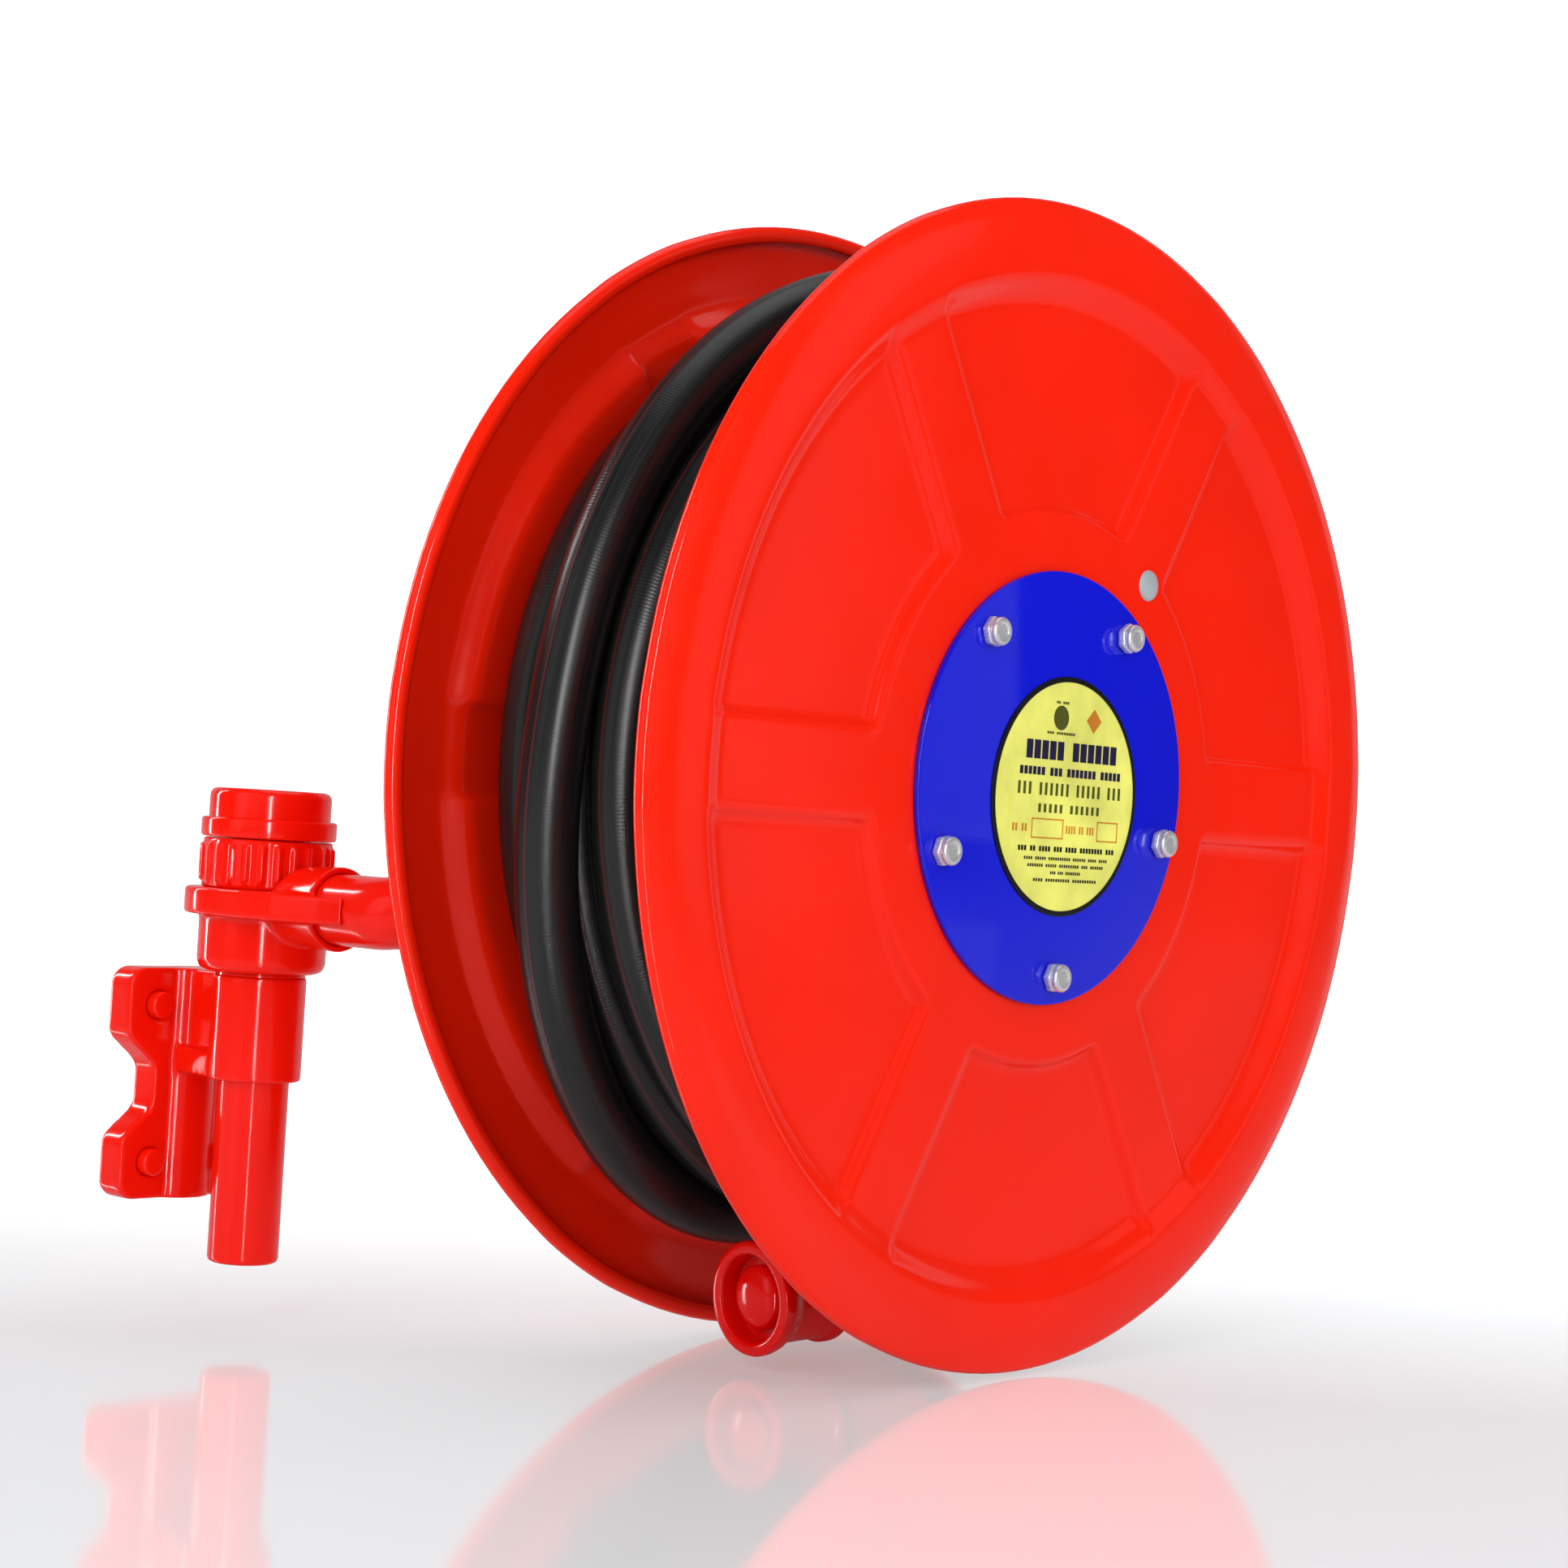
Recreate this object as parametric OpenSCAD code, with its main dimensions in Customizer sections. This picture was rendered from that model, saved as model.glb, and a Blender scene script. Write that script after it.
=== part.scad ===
// Swinging first-aid fire hose reel.
// Frame: origin at the middle of the four wall screws, on the back face of the wall bracket.
// +X points away from the wall, +Y along the wall towards the reel, +Z up.

/* [Reel] */
// Outside diameter of the pressed discs
disc_d = 550; // [540:2:560]
// Distance between the rim planes of the two discs
disc_gap = 154; // [150:1:158]
// Thickness of the disc sheet
sheet_t = 1.2; // [1:0.1:1.6]
// Outside radius of the drum that the hose is wound on
drum_r = 107; // [104:1:108]
// Number of raised spokes in each disc
spoke_count = 6; // [6:2:8]
// Width of a raised spoke
spoke_w = 38; // [32:1:42]

/* [Hub plate] */
// Radius of the front hub plate
hub_plate_r = 102; // [100:1:106]
// Radius of the circle of hub bolts
hub_bolt_circle = 89; // [86:1:92]
// Number of hub bolts
hub_bolt_count = 5; // [4:1:6]
// Radius of the label
label_r = 56.5; // [50:0.5:60]

/* [Hose] */
// Outside diameter of the hose
hose_d = 28.5; // [27:0.5:29]
// Bore of the hose
hose_bore = 20; // [19:0.5:21]
// Radius of the wound hose pack, without its last turn
pack_r = 222; // [218:1:226]

/* [Swing] */
// Distance from the wall to the swing axis
pivot_x = 64; // [62:1:70]
// Distance along the wall from the swing axis to the reel axis
reel_y = 226; // [222:1:232]
// Height of the reel axis above the middle of the wall bracket
reel_z = 168; // [160:1:176]
// Distance from the wall to the middle of the reel
reel_x = 280; // [279:1:290]
// Height of the swing arm
arm_z = 91; // [90:1:92]

/* [Pipe] */
// Outside diameter of the one inch steel pipe
pipe_d = 33.7; // [33.4:0.1:34.2]
// Bore of the pipe
pipe_bore = 27; // [26:0.5:28]
// Length of pipe below the bracket boss
pipe_drop = 87; // [60:1:120]

/* [Wall bracket] */
// Width of the wall plate
plate_w = 80; // [76:1:90]
// Height of the wall plate
plate_h = 112; // [106:1:120]
// Thickness of the wall plate
plate_t = 17; // [15:1:18]
// Wall screw spacing across
screw_y = 46; // [44:1:48]
// Wall screw spacing up and down
screw_z = 76; // [72:1:80]

/* [Hidden] */
$fn = 96;

// Small clearances: a running fit, a fixed joint, and the gap between faces that turn past each other
run = 0.05;
snug = 0.05;
face_gap = 0.4;

// Disc levels, measured outwards from the rim plane, and the radii where they change
rim_bead_r = 4;
rim_r = disc_d / 2 - rim_bead_r;
band_level = 6.5;
spoke_level = 2.2;
panel_level = -2;
band_r0 = 241;
band_r1 = 263;
step_r = 229;
panel_r0 = 133;
panel_r1 = 229;
disc_hole_r = 27;
half_gap = disc_gap / 2;
hub_face = half_gap + spoke_level;
drum_half = hub_face - sheet_t;

// Hub stack, measured from the middle of the reel
plate_sheet = 3;
flange_t = 2;
spider_t = 4;
spider_out = drum_half - flange_t;
shaft_r = 19;
shaft_nose_r = 15;
shaft_bore_r = 11;
hub_r = 30;
bush_r = 22;
hub_shoulder = 62;
bush_l = 20;
chamber_half = 14;
chamber_r = 25;
seal_m = 27;
seal_r = 2;
bolt_r = 4;
bolt_hole_r = 4.5;
bolt_phase = -86.8;
hex_af = 13;
head_h = 5.3;
nut_hex_h = 4.2;
nut_groove_h = 0.9;
nut_collar_h = 2.9;
nut_h = nut_hex_h + nut_groove_h + nut_collar_h;

// Plug and label on the front of the reel
plug_circle = 123.6;
plug_angle = 56;
plug_head_r = 7.6;
plug_hole_r = 5.5;
label_y = 7;
label_z = -3.6;
label_t = 0.8;

// Hose start: a slanted outlet pipe from the hub ends in a barb in the first lane of the drum
hose_r = hose_d / 2;
lane_1 = -59.2;
outlet_angle = 20;
barb_y = 122;
outlet_foot_y = 30;
outlet_pipe_r = 11;
outlet_bore_r = 7.5;
barb_r = 10;
barb_l = 36;
barb_bore_r = 7;
outlet_drop = 14;
knuckle_r = 13;

// Hose pack and its last turn, which lies on top of the others
pack_half = 71.5;
top_lane = -14;
top_turn_r = 236;
top_turn_from = -10;
top_turn_sweep = 215;

// Nozzle: the middle of its face, its heading and its drop
nozzle_at = [281, 122, -76];
nozzle_yaw = -6.5;
nozzle_pitch = 2.4;
nozzle_back = 112;

// Route of the hose from its last turn to the nozzle ferrule
tail_route = [[266, 459.1, 125.4], [269, 442.7, 67.7], [274, 409, 14], [282, 365, -30], [289.5, 312, -60],
    [294.5, 270, -70], [293.85, 234.5, -71.28]];
tail_steps = 2;
tube_sides = 10;

// Swivel stack: heights of the faces, and radii
boss_r = 22.2;
boss_top = 56;
boss_bottom = 6;
washer_top = 57.2;
barrel_bottom = 57.6;
ring_half = 6.5;
barrel_r = 30.6;
ring_r = 38;
nut_bottom = arm_z + ring_half;
nut_top = 121.1;
collar_bottom = 121.5;
collar_top = 131;
cap_top = 145;
grip_r = 30.6;
grip_rib_count = 25;
grip_rib_r = 1.7;
collar_r = 32.1;
cap_r = 28.9;
cap_recess_r = 19.4;
cap_recess_h = 12;
pipe_r = pipe_d / 2;
pipe_bottom = boss_bottom - pipe_drop;
pipe_top = cap_top - cap_recess_h - 2;
pipe_plug_h = 4;
inlet_thread_r = 16.6;
inlet_thread_l = 20;
swivel_bush_r = 20.5;
swivel_bush_l = 16;
port_r = 6;

// Swing arm: short-radius weld elbows join the level run, the riser and the hub end
elbow_bend = 25;
riser_x = 171;
arm_rise = reel_z - arm_z;
arm_angle = atan2(arm_rise, reel_y);
riser_l = norm([reel_y, arm_rise]);
arm_start = 98;
neck_end = 121;
socket_r = 20;
tongue_end = 142;
arm_end = riser_x + elbow_bend;

// ---------- helpers ----------

// Places children on the reel axis, m beyond the middle of the reel, turned by angle a from +Y to +Z
module on_reel(m = 0, a = 0) {
    translate([reel_x + m, reel_y, reel_z])
        rotate([a, 0, 0])
            children();
}

// Solid of revolution about the reel axis; the 2D shape is drawn as [radius, distance along X]
module spun(sweep = 360, from = 0) {
    rotate([0, 90, 0])
        rotate([0, 0, from + 90])
            rotate_extrude(angle = sweep)
                children();
}

// Plain round bar along X from m0 to m1
module bar_x(r, m0, m1) {
    translate([m0, 0, 0])
        rotate([0, 90, 0])
            cylinder(r = r, h = m1 - m0);
}

// Round washer or sleeve along X
module sleeve_x(r_out, r_in, m0, m1) {
    difference() {
        bar_x(r_out, m0, m1);
        bar_x(r_in, m0 - 1, m1 + 1);
    }
}

// Round bar between two points
module bar_between(a, b, r) {
    d = b - a;
    translate(a)
        rotate([0, acos(d[2] / norm(d)), atan2(d[1], d[0])])
            cylinder(r = r, h = norm(d));
}

// Repeats children at every hub bolt
module at_hub_bolts() {
    for (i = [0 : hub_bolt_count - 1])
        on_reel(0, bolt_phase + i * 360 / hub_bolt_count)
            translate([0, hub_bolt_circle, 0])
                children();
}

// Holes for the hub bolts, through m0 to m1
module hub_bolt_holes(m0, m1) {
    at_hub_bolts()
        bar_x(bolt_hole_r, m0, m1);
}

// Moves children to the swing axis
module on_pivot(z = 0) {
    translate([pivot_x, 0, z])
        children();
}

// Moves children to the nozzle face, with +Z pointing out of the nozzle
module at_nozzle() {
    translate(nozzle_at)
        rotate([0, 0, nozzle_yaw])
            rotate([90 + nozzle_pitch, 0, 0])
                children();
}

// O-ring lying flat round +Z
module o_ring(r, section_r) {
    rotate_extrude()
        translate([r, 0])
            circle(r = section_r, $fn = 32);
}

// ---------- wall bracket ----------

function ease(t) = t * t * (3 - 2 * t);

// Smooth waist in one side edge of the plate; side is -1 or 1
module waist(side) {
    depth = 17;
    top = 26;
    flat_top = 6;
    flat_low = -9;
    low = -29;
    steps = 8;
    edge = plate_w / 2;
    upper = [for (k = [0 : steps])
        [side * (edge - depth * ease(k / steps)), top + (flat_top - top) * k / steps]];
    lower = [for (k = [0 : steps])
        [side * (edge - depth * ease(1 - k / steps)), flat_low + (low - flat_low) * k / steps]];
    polygon(concat([[side * (edge + 1), top]], upper, lower, [[side * (edge + 1), low]]));
}

module plate_outline() {
    corner = 9;
    difference() {
        union() {
            square([plate_w, plate_h - 2 * corner], center = true);
            square([plate_w - 2 * corner, plate_h], center = true);
            for (sy = [-1, 1], sz = [-1, 1])
                translate([sy * (plate_w / 2 - corner), sz * (plate_h / 2 - corner)])
                    circle(r = corner);
        }
        waist(-1);
        waist(1);
    }
}

module wall_bracket() {
    spine_r = 18.4;
    spine_x = 5;
    web_half = 7;
    lug_half = 12;
    lug_top = 18;
    counterbore = 3;
    color("red")
        difference() {
            union() {
                rotate([90, 0, 90])
                    linear_extrude(plate_t)
                        plate_outline();
                intersection() {
                    translate([spine_x, 0, -plate_h / 2])
                        cylinder(r = spine_r, h = plate_h);
                    translate([1, -spine_r, -plate_h / 2])
                        cube([2 * spine_r, 2 * spine_r, plate_h]);
                }
                translate([plate_t - 1, -web_half, boss_bottom])
                    cube([pivot_x - plate_t, 2 * web_half, boss_top - boss_bottom]);
                translate([0, 0, boss_bottom])
                    linear_extrude(lug_top - boss_bottom)
                        polygon([[plate_t - 1, -lug_half], [pivot_x, -20], [pivot_x, 20],
                            [plate_t - 1, lug_half]]);
                on_pivot(boss_bottom)
                    cylinder(r = boss_r, h = boss_top - boss_bottom);
            }
            on_pivot(boss_bottom - 1)
                cylinder(r = pipe_r + snug, h = boss_top - boss_bottom + 2);
            for (sy = [-1, 1], sz = [-1, 1])
                translate([0, sy * screw_y / 2, sz * screw_z / 2]) {
                    bar_x(bolt_hole_r, -1, plate_t + 1);
                    bar_x(7, plate_t - counterbore, plate_t + 12);
                }
        }
}

module wall_screws() {
    head_r = 6.5;
    head_l = 8;
    head_seat = plate_t - 3;
    stud_l = 12;
    shoulder_r = bolt_r + 0.4;
    color("red")
        for (sy = [-1, 1], sz = [-1, 1])
            translate([0, sy * screw_y / 2, sz * screw_z / 2]) {
                bar_x(bolt_r, -stud_l, 1);
                bar_x(shoulder_r, 0, head_seat);
                bar_x(head_r, head_seat, head_seat + head_l);
            }
}

module inlet_pipe() {
    color("red")
        difference() {
            on_pivot() {
                translate([0, 0, pipe_bottom])
                    cylinder(r = inlet_thread_r, h = inlet_thread_l);
                translate([0, 0, pipe_bottom + inlet_thread_l])
                    cylinder(r = pipe_r, h = pipe_top - pipe_bottom - inlet_thread_l);
            }
            on_pivot(pipe_bottom - 1)
                cylinder(r = pipe_bore / 2, h = pipe_top - pipe_bottom + 1 - pipe_plug_h);
            for (a = [45, 135])
                on_pivot(arm_z)
                    rotate([90, 0, a])
                        cylinder(r = port_r, h = 2 * pipe_d, center = true);
        }
}

module thrust_washer() {
    color("goldenrod")
        on_pivot(boss_top)
            difference() {
                cylinder(r = boss_r - 0.7, h = washer_top - boss_top);
                translate([0, 0, -1])
                    cylinder(r = pipe_r + snug, h = 4);
            }
}

module thrust_collar() {
    chamfer = 1.2;
    color("red")
        on_pivot(collar_bottom)
            rotate_extrude()
                polygon([[pipe_r + snug, 0], [collar_r - chamfer, 0], [collar_r, chamfer],
                    [collar_r, collar_top - collar_bottom - chamfer],
                    [collar_r - chamfer, collar_top - collar_bottom],
                    [pipe_r + snug, collar_top - collar_bottom]]);
}

module top_cap() {
    chamfer = 1.5;
    height = cap_top - collar_top;
    color("red")
        on_pivot(collar_top)
            difference() {
                rotate_extrude()
                    polygon([[0, pipe_top - collar_top], [pipe_r + snug, pipe_top - collar_top],
                        [pipe_r + snug, 0], [cap_r, 0], [cap_r, height - chamfer],
                        [cap_r - chamfer, height], [0, height]]);
                translate([0, 0, height - cap_recess_h])
                    cylinder(r = cap_recess_r, h = cap_recess_h + 1);
            }
}

// ---------- swivel and swing arm ----------

// Plan of the ring's flat tongue, which narrows until it meets the sides of the arm
module tongue_outline() {
    side = [[0, ring_r - 1], [26, 36], [44, 32.5], [58, 28], [68, 23.5], [tongue_end - pivot_x, 17.8]];
    polygon(concat(side, [for (i = [len(side) - 1 : -1 : 0]) [side[i][0], -side[i][1]]]));
}

module swivel_body() {
    barrel_round = 5;
    water_r = 23;
    water_half = 9;
    color("red")
        difference() {
            union() {
                on_pivot()
                    rotate_extrude()
                        polygon([[0, barrel_bottom], [barrel_r - barrel_round, barrel_bottom],
                            [barrel_r - 1.5, barrel_bottom + 1.5], [barrel_r, barrel_bottom + barrel_round],
                            [barrel_r, arm_z - ring_half], [ring_r - 1, arm_z - ring_half],
                            [ring_r, arm_z - ring_half + 1], [ring_r, nut_bottom - 1],
                            [ring_r - 1, nut_bottom], [0, nut_bottom]]);
                on_pivot(arm_z - ring_half)
                    linear_extrude(2 * ring_half)
                        tongue_outline();
                translate([pivot_x + 12, 0, arm_z])
                    rotate([0, 90, 0])
                        cylinder(r1 = 18.2, r2 = socket_r, h = neck_end - pivot_x - 12);
            }
            on_pivot(nut_bottom)
                cylinder(r = grip_r + 1.5, h = 40);
            on_pivot(barrel_bottom - 1)
                cylinder(r = swivel_bush_r, h = nut_bottom - barrel_bottom + 2);
            on_pivot(arm_z - water_half)
                cylinder(r = water_r, h = 2 * water_half - 4);
            translate([pivot_x, 0, arm_z])
                bar_x(shaft_bore_r, 0, arm_start - pivot_x + 1);
            translate([0, 0, arm_z])
                bar_x(pipe_r + snug, arm_start, tongue_end + 1);
        }
}

module grip_nut() {
    color("red")
        on_pivot(nut_bottom)
            difference() {
                union() {
                    cylinder(r = grip_r, h = nut_top - nut_bottom);
                    for (i = [0 : grip_rib_count - 1])
                        rotate([0, 0, i * 360 / grip_rib_count])
                            translate([grip_r - 0.7, 0, 2])
                                cylinder(r = grip_rib_r, h = nut_top - nut_bottom - 4, $fn = 24);
                }
                translate([0, 0, -1])
                    cylinder(r = swivel_bush_r, h = nut_top - nut_bottom + 2);
            }
}

module swivel_bush(z0) {
    color("goldenrod")
        on_pivot(z0)
            difference() {
                cylinder(r = swivel_bush_r - snug / 2, h = swivel_bush_l);
                translate([0, 0, -1])
                    cylinder(r = pipe_r + run, h = swivel_bush_l + 2);
            }
}

module lower_swivel_bush() {
    swivel_bush(barrel_bottom);
}

module upper_swivel_bush() {
    swivel_bush(nut_top - swivel_bush_l);
}

module swivel_seals() {
    section = 1.7;
    color("black")
        for (z = [barrel_bottom + swivel_bush_l + section + 0.2, nut_top - swivel_bush_l - section - 0.2])
            on_pivot(z)
                o_ring(pipe_r + run + section, section);
}

// Pipe run of the arm in its own plane: along X, up the riser, and back along X into the hub
module arm_run(r, end_extra = 0) {
    bar_x(r, arm_start - end_extra, riser_x - elbow_bend);
    translate([riser_x - elbow_bend, elbow_bend, 0])
        rotate([0, 0, -90])
            rotate_extrude(angle = 90)
                translate([elbow_bend, 0])
                    circle(r = r);
    translate([riser_x, elbow_bend, 0])
        rotate([-90, 0, 0])
            cylinder(r = r, h = riser_l - 2 * elbow_bend);
    translate([arm_end, riser_l - elbow_bend, 0])
        rotate([0, 0, 90])
            rotate_extrude(angle = 90)
                translate([elbow_bend, 0])
                    circle(r = r);
    if (end_extra > 0)
        translate([0, riser_l, 0])
            bar_x(r, arm_end, arm_end + end_extra);
}

module swing_arm() {
    color("red")
        translate([0, 0, arm_z])
            rotate([arm_angle, 0, 0])
                difference() {
                    arm_run(pipe_r);
                    arm_run(pipe_bore / 2, 1);
                }
}

module hub_shaft() {
    foot = arm_end - reel_x;
    nose = 74;
    color("silver")
        on_reel()
            difference() {
                union() {
                    bar_x(shaft_r, foot, hub_shoulder + face_gap);
                    bar_x(shaft_nose_r, hub_shoulder, nose);
                }
                bar_x(shaft_bore_r, foot - 1, chamber_half + 4);
                sleeve_x(shaft_nose_r + 1, shaft_nose_r - 1.5,
                    hub_shoulder + face_gap + 2, hub_shoulder + 4.4);
                for (a = [0, 90])
                    rotate([a, 0, 0])
                        cylinder(r = port_r, h = 3 * shaft_r, center = true);
            }
}

module shaft_washer() {
    color("silver")
        on_reel()
            sleeve_x(25, shaft_nose_r + snug, hub_shoulder + face_gap, hub_shoulder + face_gap + 2);
}

module shaft_circlip() {
    color("dimgray")
        on_reel()
            difference() {
                sleeve_x(19, shaft_nose_r - 1.45, hub_shoulder + face_gap + 2.05, hub_shoulder + 4.35);
                translate([hub_shoulder, -4, 0])
                    cube([8, 8, 30]);
            }
}

// ---------- reel ----------

// Cross-section of the pressed sheet, drawn as [radius, level]
module disc_section() {
    outer = [[disc_hole_r, spoke_level], [step_r, spoke_level], [band_r0, band_level], [band_r1, band_level],
        [rim_r, rim_bead_r]];
    inner = [for (i = [len(outer) - 1 : -1 : 0]) [outer[i][0], outer[i][1] - sheet_t]];
    polygon(concat(outer, inner));
    translate([rim_r, 0])
        circle(r = rim_bead_r);
}

// Six ring sectors between the spokes, grown by g all round, from level m0 to m1
module panel_blocks(g, m0, m1) {
    difference() {
        bar_x(panel_r1 + g, m0, m1);
        bar_x(panel_r0 - g, m0 - 1, m1 + 1);
        for (a = [0 : 360 / spoke_count : 179])
            rotate([a, 0, 0])
                translate([m0 - 1, -disc_d, -spoke_w / 2 + g])
                    cube([m1 - m0 + 2, 2 * disc_d, spoke_w - 2 * g]);
    }
}

// One pressed disc, its rim plane at X = 0 and its outside towards +X
module pressed_disc() {
    difference() {
        union() {
            spun()
                disc_section();
            panel_blocks(0, panel_level - sheet_t, spoke_level);
        }
        panel_blocks(-sheet_t, panel_level, spoke_level + 1);
    }
}

module front_disc() {
    color("red")
        difference() {
            on_reel(half_gap)
                pressed_disc();
            hub_bolt_holes(half_gap - 10, half_gap + 10);
            on_reel(half_gap, plug_angle)
                translate([0, plug_circle, 0])
                    bar_x(plug_hole_r, -10, 10);
        }
}

module back_disc() {
    color("red")
        difference() {
            on_reel(-half_gap)
                mirror([1, 0, 0])
                    pressed_disc();
            hub_bolt_holes(-half_gap - 10, -half_gap + 10);
        }
}

module drum_core() {
    wall = 1.5;
    flange_r = 75;
    color("firebrick")
        difference() {
            on_reel() {
                sleeve_x(drum_r, drum_r - wall, -drum_half, drum_half);
                sleeve_x(drum_r, flange_r, -drum_half, -drum_half + flange_t);
                sleeve_x(drum_r, flange_r, drum_half - flange_t, drum_half);
            }
            hub_bolt_holes(-drum_half - 1, drum_half + 1);
            on_reel(0, outlet_angle)
                bar_between([0, outlet_foot_y, 0], [lane_1, barb_y, 0], outlet_pipe_r + 2);
        }
}

module spider(side) {
    rim = 100;
    window_r = 13;
    window_circle = 58;
    color("dimgray")
        difference() {
            on_reel(side > 0 ? spider_out - spider_t : -spider_out)
                difference() {
                    sleeve_x(rim, hub_r + snug, 0, spider_t);
                    for (i = [0 : hub_bolt_count - 1])
                        rotate([bolt_phase + (i + 0.5) * 360 / hub_bolt_count, 0, 0])
                            translate([0, window_circle, 0])
                                bar_x(window_r, -1, spider_t + 1);
                }
            hub_bolt_holes(-drum_half, drum_half);
        }
}

module front_spider() {
    spider(1);
}

module rear_spider() {
    spider(-1);
}

module water_hub() {
    reach = spider_out;
    bore_r = shaft_r + 0.6;
    boss_from = [12.9, 10, 0];
    boss_to = [-5.4, 38.4, 0];
    color("darkgoldenrod")
        on_reel()
            difference() {
                union() {
                    bar_x(hub_r, -reach, reach);
                    rotate([outlet_angle, 0, 0])
                        bar_between(boss_from, boss_to, outlet_pipe_r + 4);
                }
                bar_x(bore_r, -reach - 1, reach + 1);
                bar_x(bush_r + snug / 2, -hub_shoulder, -hub_shoulder + bush_l);
                bar_x(bush_r + snug / 2, hub_shoulder - bush_l, hub_shoulder);
                bar_x(26, hub_shoulder, reach + 1);
                bar_x(bush_r + snug / 2, -reach - 1, -hub_shoulder + 1);
                bar_x(chamber_r, -chamber_half, chamber_half);
                for (m = [-seal_m, seal_m])
                    bar_x(shaft_r + run + 2 * seal_r + 0.1, m - seal_r - 0.2, m + seal_r + 0.2);
                rotate([outlet_angle, 0, 0])
                    bar_between([0, 0, 0] + [-59.2, 92, 0] * 0.2, [-59.2, 122, 0], outlet_bore_r);
            }
}

module hub_bush(m0) {
    color("goldenrod")
        on_reel()
            sleeve_x(bush_r, shaft_r + run, m0, m0 + bush_l);
}

module front_hub_bush() {
    hub_bush(hub_shoulder - bush_l);
}

module rear_hub_bush() {
    hub_bush(-hub_shoulder);
}

module hub_seals() {
    color("black")
        for (m = [-seal_m, seal_m])
            on_reel(m)
                rotate([0, 90, 0])
                    o_ring(shaft_r + run + seal_r, seal_r);
}

module hub_plate() {
    chamfer = 0.8;
    color("blue")
        difference() {
            on_reel(hub_face)
                spun()
                    polygon([[0, 0], [hub_plate_r, 0], [hub_plate_r, plate_sheet - chamfer],
                        [hub_plate_r - chamfer, plate_sheet], [0, plate_sheet]]);
            hub_bolt_holes(hub_face - 1, hub_face + plate_sheet + 1);
        }
}

module rear_hub_plate() {
    color("red")
        difference() {
            on_reel()
                sleeve_x(hub_plate_r, shaft_r + 5, -hub_face - plate_sheet, -hub_face);
            hub_bolt_holes(-hub_face - plate_sheet - 1, -hub_face + 1);
        }
}

module hub_bolts() {
    seat = hub_face + plate_sheet;
    color("silver")
        at_hub_bolts() {
            bar_x(bolt_r, -seat, seat + nut_h - 1);
            translate([-seat - head_h, 0, 0])
                rotate([0, 90, 0])
                    cylinder(d = hex_af / cos(30), h = head_h, $fn = 6);
        }
}

module hub_nuts() {
    seat = hub_face + plate_sheet;
    collar_r0 = 6.6;
    recess_r = 4.9;
    color("silver")
        at_hub_bolts()
            translate([seat, 0, 0])
                difference() {
                    union() {
                        rotate([0, 90, 0])
                            cylinder(d = hex_af / cos(30), h = nut_hex_h, $fn = 6);
                        bar_x(5.6, nut_hex_h - 0.5, nut_hex_h + nut_groove_h + 0.5);
                        bar_x(collar_r0, nut_hex_h + nut_groove_h, nut_h);
                    }
                    bar_x(bolt_r + snug, -1, nut_h + 1);
                    bar_x(recess_r, nut_h - 2, nut_h + 1);
                }
}

module label_plate() {
    color("khaki")
        on_reel(hub_face + plate_sheet)
            translate([0, label_y, label_z])
                bar_x(label_r, 0, label_t);
}

module disc_plug() {
    stem_l = 6;
    head_l = 2;
    color("lightgray")
        on_reel(hub_face, plug_angle)
            translate([0, plug_circle, 0])
                spun()
                    polygon([[0, -stem_l], [plug_hole_r - snug, -stem_l], [plug_hole_r - snug, 0],
                        [plug_head_r, 0], [plug_head_r, 0.6], [plug_head_r - 1.5, 1.5],
                        [plug_head_r - 4, head_l], [0, head_l + 0.2]]);
}

// ---------- hose ----------

// Places children at the outlet elbow, with -Z pointing along the start of the hose
module at_outlet() {
    on_reel(0, outlet_angle)
        children();
}

module outlet_elbow() {
    corner = [lane_1, barb_y, 0];
    along = [-59.2, 92, 0];
    start = corner - along * 0.908;
    bore_len = outlet_drop + barb_l + 5;
    color("goldenrod")
        at_outlet()
            difference() {
                union() {
                    bar_between(start, corner, outlet_pipe_r);
                    translate(corner - [0, 0, outlet_drop])
                        cylinder(r = knuckle_r, h = outlet_drop + knuckle_r);
                    translate(corner - [0, 0, outlet_drop + barb_l])
                        cylinder(r = barb_r - snug, h = barb_l + 2);
                }
                bar_between(start - along * 0.05, corner, outlet_bore_r);
                translate(corner + [0, 0, 4 - bore_len])
                    cylinder(r = barb_bore_r, h = bore_len);
            }
}

module hose_start() {
    color("black")
        at_outlet()
            translate([lane_1, barb_y, -outlet_drop - barb_l])
                difference() {
                    cylinder(r = hose_r, h = barb_l);
                    translate([0, 0, -1])
                        cylinder(r = barb_r, h = barb_l + 2);
                }
}

module hose_clip() {
    band_w = 10;
    band_t = 1;
    color("silver")
        at_outlet()
            translate([lane_1, barb_y, -outlet_drop - 19])
                difference() {
                    union() {
                        cylinder(r = hose_r + 0.1 + band_t, h = band_w);
                        translate([-4, hose_r - 1, 0])
                            cube([10, 5, band_w]);
                    }
                    translate([0, 0, -1])
                        cylinder(r = hose_r + 0.1, h = band_w + 2);
                }
}

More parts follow.
